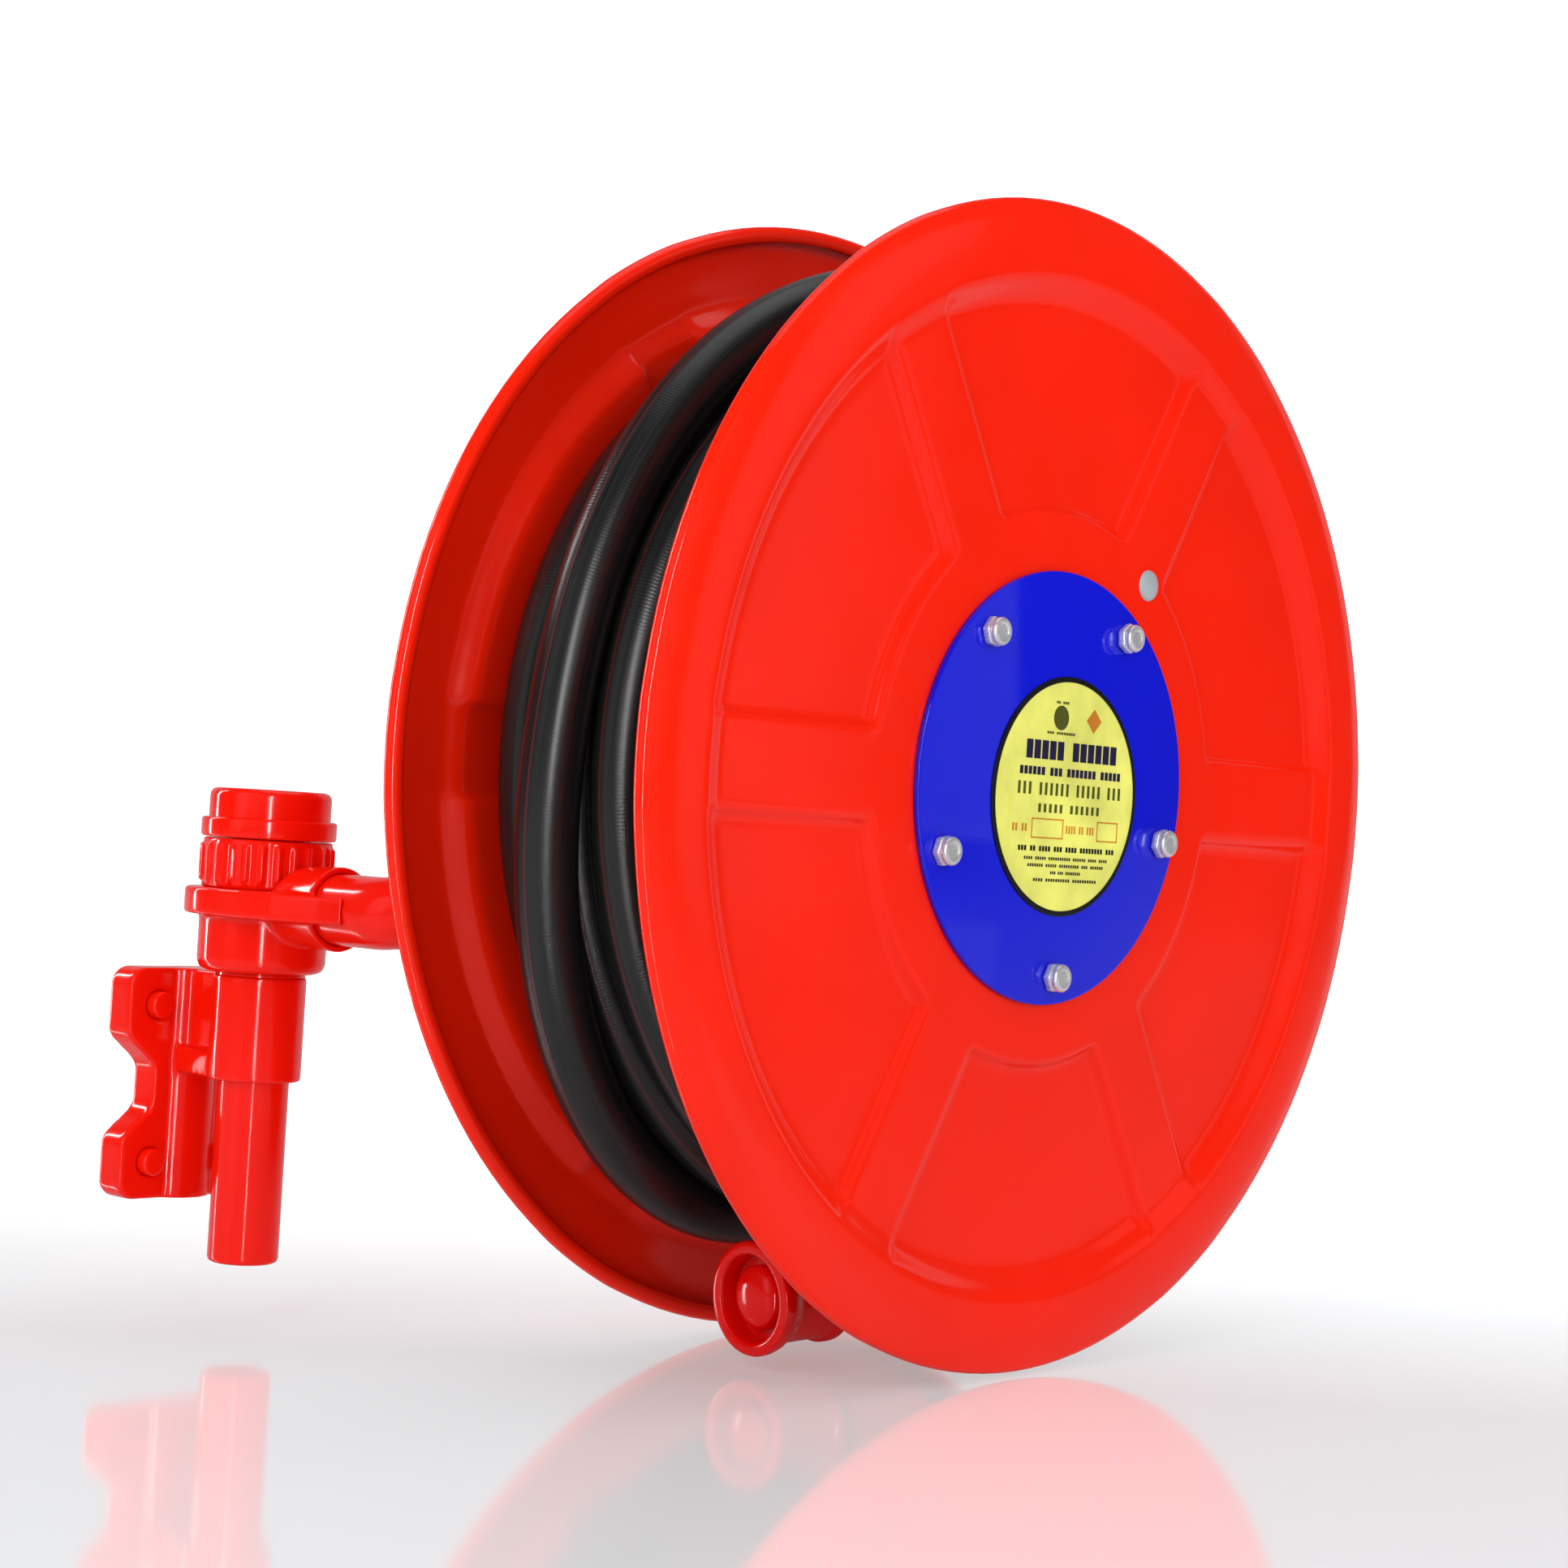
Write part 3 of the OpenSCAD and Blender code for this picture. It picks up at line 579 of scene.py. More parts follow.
@dataclass(frozen=True)
class Metal(Finish):
    """Bare, plated or cast metal."""

    roughness: float = 0.28
    stretch: Point = (1.0, 8.0, 8.0)
    grain_depth: float = 0.00002
    metallic: float = 1.0

    def paint(self, tree: bpy.types.NodeTree) -> None:
        """Builds the metal's nodes."""
        values = {"Roughness": self.roughness, "Stretch": self.stretch}
        shader = self.wire(tree, metal_grain, "Object", values, 0.3, self.grain_depth)
        shader.inputs["Metallic"].default_value = self.metallic


@dataclass(frozen=True)
class Moulded(Finish):
    """Rubber, plastic or printed film."""

    roughness: float = 0.5
    grain: float = 900.0
    grain_depth: float = 0.00003

    def paint(self, tree: bpy.types.NodeTree) -> None:
        """Builds the moulding's nodes."""
        values = {"Roughness": self.roughness, "Grain": self.grain}
        shader = self.wire(tree, mould_skin, "Object", values, 0.3, self.grain_depth)
        shader.inputs["Specular IOR Level"].default_value = 0.3


@dataclass(frozen=True)
class HoseRubber(Finish):
    """Black rubber hose cover, read along and round the hose."""

    relief_depth: float = 0.00012

    def paint(self, tree: bpy.types.NodeTree) -> None:
        """Builds the hose cover's nodes."""
        shader = self.wire(tree, hose_skin, "UV", {}, 0.35, self.relief_depth)
        shader.inputs["Specular IOR Level"].default_value = 0.55


class Paints:
    """Every finish of the reel."""

    RED = Enamel("gloss_red", (0.90, 0.0080, 0.0012))
    DISC_RED = Enamel("pressing_red", (0.92, 0.0140, 0.0012), 0.13, 0.32, 190.0, 0.00004, 16.0)
    BLUE = Enamel("gloss_blue", (0.0035, 0.0075, 0.62), 0.07, 0.45, 220.0, 0.00002, 6.0)
    # a darker copy of the gloss red: painted shade for the nozzle, which sits in shade under the
    # reel
    NOZZLE_RED = Enamel("nozzle_gloss_red", (0.70, 0.0025, 0.0015), 0.12, 0.45, 420.0, 0.00002)
    ZINC = Metal("bright_zinc", (0.90, 0.91, 0.92), 0.30, (1.0, 8.0, 8.0), 0.00002, 0.7)
    STEEL = Metal("ground_steel", (0.60, 0.60, 0.61), 0.26, (8.0, 1.0, 1.0))
    SPRING = Metal("dark_spring_steel", (0.16, 0.16, 0.17), 0.35)
    CAST = Metal("cast_iron_grey", (0.26, 0.26, 0.27), 0.62, (1.0, 1.0, 1.0), 0.0001)
    BRASS = Metal("turned_brass", (0.72, 0.52, 0.22), 0.32)
    BRONZE = Metal("bush_bronze", (0.60, 0.38, 0.18), 0.36)
    SEAL = Moulded("black_seal", (0.02, 0.02, 0.02), 0.6)
    HOSE = HoseRubber("hose_cover", (0.0075, 0.0078, 0.0084))
    LABEL = Moulded("label_film", (0.80, 0.80, 0.155), 0.35, 700.0, 0.00001)
    INK = Moulded("label_ink", (0.004, 0.004, 0.006), 0.4, 700.0, 0.00001)
    NAVY = Moulded("label_navy", (0.012, 0.006, 0.055), 0.4, 700.0, 0.00001)
    OLIVE = Moulded("label_olive", (0.075, 0.085, 0.006), 0.4, 700.0, 0.00001)
    AMBER = Moulded("label_amber", (0.60, 0.20, 0.008), 0.4, 700.0, 0.00001)
    PLUG = Moulded("grey_plastic", (0.42, 0.47, 0.50), 0.30)


# ---------------------------------------------------------------- studio


class Light(Enum):
    """What a soft box lights: matt faces, gloss, or both."""

    MATT = "matt"
    GLOSS = "gloss"
    BOTH = "both"


@dataclass
class Studio:
    """Pale floor that curves up behind, soft lights and the camera."""

    lens: float = 69.07
    eye: Point = (1.21111, -0.91095, 0.14072)
    right: Point = (0.74343, 0.66607, 0.06057)
    up: Point = (-0.03488, -0.05182, 0.99805)
    ahead: Point = (-0.66790, 0.74409, 0.01529)
    aim: Point = (0.22, 0.15, 0.15)

    def camera(self) -> None:
        """Adds the camera and makes it the scene's."""
        data = bpy.data.cameras.new("camera")
        data.lens = self.lens
        data.sensor_width = 36.0
        data.clip_start = 0.02
        obj = bpy.data.objects.new("camera", data)
        columns = (self.right, self.up, tuple(-v for v in self.ahead))
        turn = Matrix([[c[i] for c in columns] for i in range(3)])
        obj.matrix_world = Matrix.Translation(self.eye) @ turn.to_4x4()
        bpy.context.scene.collection.objects.link(obj)
        bpy.context.scene.camera = obj
        LOG.info("camera set")

    def level_ahead(self) -> Vector:
        """The camera's heading across the floor."""
        return Vector((self.ahead[0], self.ahead[1], 0.0)).normalized()

    def floor_paint(self) -> bpy.types.Material:
        """Makes the pale floor's finish: a soft gloss with painted light, glowing brighter towards
        the back so that the floor nearer the reel reads as painted shade, and glowing less in
        reflections.
        """
        material = bpy.data.materials.new("pale_floor")
        material.use_nodes = True
        make = NodeMaker(material.node_tree)
        shader = material.node_tree.nodes["Principled BSDF"]
        where = make.add("ShaderNodeTexCoord")
        noise = make.add("ShaderNodeTexNoise", {"Vector": where.outputs["Object"], "Scale": 3.0})
        rough = make.remap(noise.outputs["Fac"], 0.3, 0.7, 0.07, 0.09)
        inputs = {0: where.outputs["Object"], 1: tuple(self.level_ahead())}
        depth = make.add("ShaderNodeVectorMath", inputs, operation="DOT_PRODUCT")
        # painted light: the floor glows more the further back it lies, so the part near the reel
        # stays dim as painted shade; the glow is cut in reflections below
        glow = make.remap(depth.outputs["Value"], -0.10, 0.80, 0.30, 0.95)
        path = make.add("ShaderNodeLightPath")
        mirrored = make.remap(path.outputs["Is Glossy Ray"], 0.0, 1.0, 1.0, 0.12)
        glow = make.math("MULTIPLY", glow, mirrored)
        material.node_tree.links.new(rough, shader.inputs["Roughness"])
        material.node_tree.links.new(glow, shader.inputs["Emission Strength"])
        shader.inputs["Emission Color"].default_value = (1.0, 1.0, 1.0, 1.0)
        shader.inputs["Base Color"].default_value = (0.60, 0.61, 0.63, 1.0)
        shader.inputs["Metallic"].default_value = 0.30
        return material

    def floor(self) -> None:
        """Adds the floor, a plain pale sheet that rises in a wide curve behind the reel."""
        near, far, half, bend, height, parts = -2.6, 4.0, 9.0, 2.5, 7.0, 16
        line = [(near, FLOOR_Z), (far, FLOOR_Z)]
        for i in range(1, parts + 1):
            a = math.radians(90.0 * i / parts)
            line.append((far + bend * math.sin(a), FLOOR_Z + bend * (1.0 - math.cos(a))))
        line.append((far + bend, FLOOR_Z + height))
        ahead = self.level_ahead()
        side = Vector((ahead.y, -ahead.x, 0.0))
        points = []
        for away, high in line:
            for aside in (-half, half):
                p = ahead * away + side * aside
                points.append((p.x, p.y, high))
        faces = [(2 * i, 2 * i + 1, 2 * i + 3, 2 * i + 2) for i in range(len(line) - 1)]
        obj = mesh_object("floor", points, faces)
        smooth(obj)
        obj.data.materials.append(self.floor_paint())
        LOG.info("floor laid")

    def sky(self) -> None:
        """Lights the room evenly: bright to the eye and to matt faces, dim in reflections."""
        world = bpy.data.worlds.new("room")
        bpy.context.scene.world = world
        world.use_nodes = True
        tree = world.node_tree
        make = NodeMaker(tree)
        back = tree.nodes["Background"]
        path = make.add("ShaderNodeLightPath")
        dim = make.remap(path.outputs["Is Glossy Ray"], 0.0, 1.0, 0.58, 0.05)
        seen = make.remap(path.outputs["Is Camera Ray"], 0.0, 1.0, 0.0, 0.40)
        dim = make.math("ADD", dim, seen)
        back.inputs["Color"].default_value = (1.0, 1.0, 1.0, 1.0)
        tree.links.new(dim, back.inputs["Strength"])
        bpy.context.scene.view_settings.view_transform = "Standard"

    def soft_box(self, name: str, bearing: float, far: float, high: float,
                 size: tuple[float, float], glow: float, light: Light) -> None:
        """Adds one soft box that faces the middle of the reel.

        Args:
            name: Name of the light.
            bearing: Where it stands, in degrees from +X towards +Y.
            far: Its distance from the middle across the floor.
            high: Its height above the row's origin.
            size: Its width and height in metres.
            glow: Brightness of its face.
            light: What it lights.
        """
        data = bpy.data.lights.new(name, "AREA")
        data.shape = "RECTANGLE"
        data.size, data.size_y = size
        data.energy = glow * math.pi * size[0] * size[1]
        obj = bpy.data.objects.new(name, data)
        middle = Vector(self.aim)
        a = math.radians(bearing)
        at = Vector((middle.x + far * math.cos(a), middle.y + far * math.sin(a), high))
        turn = (middle - at).to_track_quat("-Z", "Y").to_matrix().to_4x4()
        obj.matrix_world = Matrix.Translation(at) @ turn
        obj.visible_glossy = light is not Light.MATT
        obj.visible_diffuse = light is not Light.GLOSS
        bpy.context.scene.collection.objects.link(obj)

    def build(self) -> None:
        """Sets up the whole studio."""
        self.camera()
        self.floor()
        self.sky()
        for box in (("key_box", -85.0, 1.9, 0.90, (1.5, 1.6), 2.8, Light.MATT),
                    ("fill_box", -5.0, 2.0, 0.70, (1.2, 1.5), 3.0, Light.MATT),
                    ("left_box", -100.0, 1.9, 0.75, (0.8, 1.6), 0.45, Light.GLOSS),
                    ("strip", -45.0, 2.0, 0.60, (0.10, 1.4), 45.0, Light.GLOSS),
                    ("edge_strip", -155.0, 1.8, 0.60, (0.12, 1.6), 26.0, Light.GLOSS),
                    ("disc_box", 38.0, 2.4, 0.80, (0.7, 1.6), 0.35, Light.GLOSS),
                    ("top_box", 90.0, 0.2, 2.1, (1.5, 1.5), 1.0, Light.BOTH)):
            self.soft_box(*box)


# ---------------------------------------------------------------- reel


@dataclass
class PressedDisc:
    """One pressed steel disc with raised spokes, sunk panels, a raised band and a rolled rim."""

    name: str
    node: str
    side: int
    spokes: int = 6
    half_spoke: float = 0.019
    wall: float = 0.0012
    hub_level: float = 0.0022
    sunk: float = 0.0042
    band_rise: float = 0.0045
    steady_radius: float = 0.100

    def section(self) -> list[tuple[float, Optional[float]]]:
        """Radii from the hole to the rolled rim, with a fixed level where the rim is shaped."""
        plain = (0.0268, 0.045, 0.070, 0.095, 0.112, 0.122, 0.1272, 0.1295, 0.1312, 0.1332,
                 0.1365, 0.150, 0.172, 0.195, 0.212, 0.2215, 0.2262, 0.2288, 0.2318, 0.2352,
                 0.2385, 0.2412)
        rim = ((0.2445, 0.0067), (0.2510, 0.0069), (0.2570, 0.0067), (0.2625, 0.0061),
               (0.2668, 0.0052), (0.2700, 0.0042), (0.2726, 0.0036), (0.2743, 0.0023),
               (0.2750, 0.0), (0.2742, -0.0024), (0.2718, -0.0040), (0.2690, -0.0040),
               (0.2668, -0.0024))
        return [(radius, None) for radius in plain] + list(rim)

    def level(self, radius: float, aside: float) -> float:
        """Height of the sheet above the rim plane.

        Args:
            radius: Distance from the reel axis.
            aside: Distance from the nearest spoke's middle line.

        Returns:
            The height, outwards.
        """
        rise = ramp(radius, 0.2280, 0.0125, eased=True)
        inner = ramp(radius, 0.1295, 0.0037)
        outer = 1.0 - ramp(radius, 0.2262, 0.0130)
        across = ramp(aside, self.half_spoke, 0.0040)
        return self.hub_level + self.band_rise * rise - self.sunk * inner * outer * across

    def bearings(self, radius: float) -> list[tuple[float, float]]:
        """Angles of the cage's columns over one spoke pitch, each with its distance aside."""
        steady = max(radius, self.steady_radius)
        half_pitch = math.pi / self.spokes
        aside = [0.0, 0.008, 0.0145, self.half_spoke, 0.0210, 0.0230, 0.0265]
        half = [(math.asin(d / steady), d) for d in aside]
        last = half[-1][0]
        half += [(last + (half_pitch - last) * k / 5.0, 0.05) for k in range(1, 6)]
        back = [(2.0 * half_pitch - a, d) for a, d in reversed(half[1:-1])]
        return half + back

    def build(self) -> bpy.types.Object:
        """Builds the disc in place, with its outside facing away from the hose."""
        points: list[Point] = []
        rows = self.section()
        pitch = math.tau / self.spokes
        for radius, fixed in rows:
            for k in range(self.spokes):
                for angle, aside in self.bearings(radius):
                    level = self.level(radius, aside) if fixed is None else fixed
                    a = angle + k * pitch
                    points.append((REEL_AXIS.x + self.side * (HALF_GAP + level),
                                   REEL_AXIS.y + radius * math.cos(a),
                                   REEL_AXIS.z + radius * math.sin(a)))
        count = len(points) // len(rows)
        faces = []
        for i in range(len(rows) - 1):
            for j in range(count):
                n = (j + 1) % count
                quad = (i * count + j, (i + 1) * count + j, (i + 1) * count + n, i * count + n)
                faces.append(quad if self.side > 0 else quad[::-1])
        obj = mesh_object(self.name, points, faces)
        soften(obj, 1)
        stack(obj, "SOLIDIFY", thickness=self.wall, offset=-1.0)
        smooth(obj)
        return dress(obj, Paints.DISC_RED, Body.REEL, "red_enamel", self.node)


@dataclass
class Hub:
    """Blue hub plate with its label, the nuts, the grey plug and the plate at the back."""

    plate_radius: float = 0.102
    plate_sheet: float = 0.003
    bolt_circle: float = 0.089
    bolt_count: int = 5
    bolt_phase: float = -86.8
    flats: float = 0.013
    hexagon_height: float = 0.0044
    label_radius: float = 0.0565
    label_offset: tuple[float, float] = (0.007, -0.0036)
    mark_top: float = 0.00078
    mark_depth: float = 0.00016

    def plates(self) -> None:
        """Builds the front and rear hub plates."""
        r, t = self.plate_radius, self.plate_sheet
        front = turned("hub_disc", ((0.0, t), (r, t), (r, 0.0), (0.0, 0.0)), along_x(HUB_FACE), 160,
                       0.0009)
        dress(front, Paints.BLUE, Body.REEL, "blue_enamel", "hub_plate")
        rear = turned("rear_disc", ((0.024, t), (r, t), (r, 0.0), (0.024, 0.0), (0.024, t)),
                      along_x(-HUB_FACE - t), 128, 0.0006)
        dress(rear, Paints.RED, Body.REEL, "red_enamel", "rear_hub_plate")

    def nut(self, number: int) -> None:
        """Builds one locking nut: a chamfered hexagon, a groove and a round collar."""
        angle = self.bolt_phase + number * 360.0 / self.bolt_count
        seat = along_x(HUB_FACE + self.plate_sheet, angle, self.bolt_circle)
        corner = self.flats / 2.0 / math.cos(math.pi / 6.0)
        hexagon = [(corner * math.cos(k * math.pi / 3.0 + 0.3 * number),
                    corner * math.sin(k * math.pi / 3.0 + 0.3 * number)) for k in range(6)]
        flats = prism(f"nut_flats_{number + 1}", hexagon, 0.0, self.hexagon_height)
        bevel(flats, 0.0013, 4, 20.0)
        apply_stack(flats)
        place(flats, seat)
        dress(shade(flats), Paints.ZINC, Body.REEL, "zinc_steel", "hub_nuts")
        collar = ((0.0, 0.0064), (0.0022, 0.0064), (0.0030, 0.0067), (0.0036, 0.0075),
                  (0.0043, 0.0080), (0.0052, 0.0079), (0.0061, 0.0073), (0.0066, 0.0064),
                  (0.0066, 0.0057), (0.0062, 0.0050), (0.0057, 0.0047), (0.0056, 0.0040))
        ring = turned(f"nut_collar_{number + 1}", collar, seat, 40)
        dress(ring, Paints.ZINC, Body.REEL, "zinc_steel")

    def label(self) -> None:
        """Builds the round label: film, dark border and plain marks in place of print."""
        dy, dz = self.label_offset
        seat = along_x(HUB_FACE + self.plate_sheet)
        seat = seat @ Matrix.Translation((dy, dz, 0.0))
        r = self.label_radius
        film = turned("label_film", ((0.0, 0.0007), (r - 0.0022, 0.0007), (r - 0.0022, 0.0)), seat,
                      128)
        dress(film, Paints.LABEL, Body.REEL, "label_yellow", "label_plate")
        edge = turned("label_border", ((r - 0.0025, 0.0009), (r, 0.0009), (r, 0.0)), seat, 128,
                      0.0003)
        dress(edge, Paints.INK, Body.REEL, "label_yellow")
        self.marks(seat)

    def words(self, row: float, width: float, height: float, lengths: Sequence[int],
              middle: float = 0.003, share: float = 0.72) -> list[tuple[Point, Point]]:
        """Returns a row of plain blocks in groups, as a line of print seen from afar.

        Args:
            row: Height of the row above the label's middle.
            width: Length of the row.
            height: Height of its blocks.
            lengths: Number of blocks in each group.
            middle: Distance of the row's middle to the right.
            share: Part of each step that the block fills.

        Returns:
            The blocks' middles and sizes.
        """
        steps = sum(lengths) + len(lengths) - 1
        step = width / steps
        at, found = middle - width / 2.0, []
        for count in lengths:
            for _ in range(count):
                found.append(((at + step / 2.0, row, self.mark_top),
                              (step * share, height, self.mark_depth)))
                at += step
            at += step
        return found

    def empty_box(self, x: float, y: float, width: float, height: float,
                  line: float) -> list[tuple[Point, Point]]:
        """Returns the four bars of an empty box about a middle."""
        z, deep = self.mark_top, self.mark_depth
        return [((x, y + height / 2.0, z), (width + line, line, deep)),
                ((x, y - height / 2.0, z), (width + line, line, deep)),
                ((x - width / 2.0, y, z), (line, height, deep)),
                ((x + width / 2.0, y, z), (line, height, deep))]

    def marks(self, seat: Matrix) -> None:
        """Adds the label's plain blocks and boxes, a dot and a lozenge."""
        rows = self.words
        bold = rows(0.0212, 0.072, 0.0088, (5, 6), share=0.80)
        bold += rows(0.0112, 0.080, 0.0038, (6, 3, 7, 5))
        thin = rows(0.0030, 0.083, 0.0058, (3, 6, 5, 3), share=0.42)
        thin += rows(-0.0060, 0.050, 0.0040, (5, 6), share=0.45)
        thin += rows(0.0440, 0.010, 0.0012, (2, 3), -0.0065)
        thin += rows(0.0295, 0.022, 0.0012, (3, 8), -0.0065)
        orange = self.empty_box(-0.0130, -0.0155, 0.0240, 0.0088, 0.0006)
        orange += self.empty_box(0.0345, -0.0155, 0.0160, 0.0090, 0.0006)
        orange += rows(-0.0155, 0.012, 0.0036, (2, 2), -0.0345, 0.5)
        orange += rows(-0.0155, 0.023, 0.0036, (4, 2, 3), 0.0125, 0.5)
        small = rows(-0.0250, 0.076, 0.0024, (3, 2, 4, 3, 4, 8, 3), share=0.66)
        small += rows(-0.0295, 0.066, 0.0014, (4, 5, 10, 6, 4, 4), share=0.6)
        small += rows(-0.0328, 0.060, 0.0014, (7, 5, 9, 3, 6), share=0.6)
        small += rows(-0.0361, 0.024, 0.0014, (3, 3, 8), share=0.6)
        small += rows(-0.0396, 0.050, 0.0014, (4, 10, 10), share=0.6)
        for name, finish, blocks in (("label_heading", Paints.NAVY, bold),
                                     ("label_lines", Paints.OLIVE, thin),
                                     ("label_boxes", Paints.AMBER, orange),
                                     ("label_small", Paints.INK, small)):
            obj = place(boxes(name, blocks), seat)
            dress(obj, finish, Body.REEL, "label_yellow")
        low, high = self.mark_top - self.mark_depth / 2.0, self.mark_top + self.mark_depth / 2.0
        size, row = 0.0058, 0.0368
        for name, finish, aside, corners in (("label_dot", Paints.OLIVE, -0.0070, 32),
                                             ("label_lozenge", Paints.AMBER, 0.0190, 4)):
            turns = [math.tau * k / corners for k in range(corners)]
            outline = [(aside + size * math.cos(t), row + size * math.sin(t)) for t in turns]
            mark = place(prism(name, outline, low, high), seat)
            dress(mark, finish, Body.REEL, "label_yellow")

    def plug(self) -> None:
        """Builds the grey plug beside the hub plate."""
        crown = ((0.0, 0.0022), (0.0030, 0.0021), (0.0056, 0.0016), (0.0072, 0.0008),
                 (0.0076, 0.0), (0.0055, 0.0), (0.0055, -0.006), (0.0, -0.006))
        obj = turned("plug_button", crown, along_x(HUB_FACE, 56.0, 0.1236), 48)
        dress(obj, Paints.PLUG, Body.REEL, "plug_plastic", "disc_plug")

    def build(self) -> None:
        """Builds the whole hub."""
        self.plates()
        for number in range(self.bolt_count):
            self.nut(number)
        self.label()
        self.plug()
        for node, finish in (("hub_bolts", Paints.ZINC), ("drum_core", Paints.RED),
                             ("front_spider", Paints.CAST), ("rear_spider", Paints.CAST),
                             ("water_hub", Paints.BRASS), ("front_hub_bush", Paints.BRONZE),
                             ("rear_hub_bush", Paints.BRONZE), ("hub_seals", Paints.SEAL),
                             ("outlet_elbow", Paints.BRASS), ("hose_clip", Paints.STEEL)):
            dress_node(node, finish)


# ---------------------------------------------------------------- nozzle and hose


@dataclass
class Nozzle:
    """Red spray nozzle with a turning grip, and the ferrule on the hose end."""

    at: Point = (0.281, 0.122, -0.076)
    yaw: float = -6.5
    pitch: float = 2.4

    def seat(self) -> Matrix:
        """Matrix whose +Z points out of the nozzle, with the face at 0."""
        return (Matrix.Translation(self.at) @ Matrix.Rotation(math.radians(self.yaw), 4, "Z")
                @ Matrix.Rotation(math.radians(90.0 + self.pitch), 4, "X"))

    def build(self) -> list[bpy.types.Object]:
        """Builds the nozzle and returns its pieces."""
        seat = self.seat()
        grip = ((0.0141, -0.0112), (0.0196, -0.0112), (0.0200, -0.0100), (0.0200, -0.0024),
                (0.0208, -0.0006), (0.0222, 0.0), (0.0248, -0.0001), (0.0262, -0.0008),
                (0.0266, -0.0022), (0.0265, -0.0050), (0.0255, -0.0085), (0.0232, -0.0130),
                (0.0221, -0.0165), (0.0220, -0.0370), (0.0224, -0.0390), (0.0238, -0.0403),
                (0.0240, -0.0412), (0.0240, -0.0450), (0.0234, -0.0460), (0.0141, -0.0460),
                (0.0141, -0.0112))
        sleeve = turned("nozzle_grip_sleeve", grip, seat, 96, 0.0004, 2)
        dress(sleeve, Paints.NOZZLE_RED, Body.GRIP, "nozzle_red", "nozzle_sleeve")
        dome = ((0.0, -0.0012), (0.0050, -0.0014), (0.0090, -0.0020), (0.0122, -0.0031),
                (0.0140, -0.0046), (0.0149, -0.0066), (0.0150, -0.0106), (0.0030, -0.0106),
                (0.0030, -0.0400), (0.0, -0.0400))
        head = turned("nozzle_dome", dome, seat, 72)
        dress(head, Paints.NOZZLE_RED, Body.REEL, "nozzle_red", "nozzle_pintle")
        barrel = ((0.0075, -0.0122), (0.0140, -0.0122), (0.0140, -0.0464), (0.0185, -0.0464),
                  (0.0185, -0.0520), (0.0140, -0.0520), (0.0140, -0.0600), (0.0175, -0.0660),
                  (0.0175, -0.0740), (0.0160, -0.0780), (0.0100, -0.0780), (0.0100, -0.1060),
                  (0.0075, -0.1060), (0.0075, -0.0122))
        stem = turned("nozzle_stem", barrel, seat, 72, 0.0005, 2)
        dress(stem, Paints.NOZZLE_RED, Body.REEL, "nozzle_red", "nozzle_body")
        crimp = [(0.0146, -0.0785), (0.0160, -0.0785)]
        for k in range(5):
            z = -0.0835 - 0.0056 * k
            crimp += [(0.0166, z + 0.0018), (0.0166, z - 0.0012), (0.0161, z - 0.0024)]
        crimp += [(0.0165, -0.1108), (0.0156, -0.1120), (0.0146, -0.1120), (0.0146, -0.0785)]
        ferrule = turned("hose_end_ferrule", crimp, seat, 72, 0.0003, 2)
        dress(ferrule, Paints.NOZZLE_RED, Body.REEL, "red_enamel", "hose_ferrule")
        dress_node("nozzle_seal", Paints.SEAL)
        return [sleeve, head, stem, ferrule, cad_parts["nozzle_seal"]]


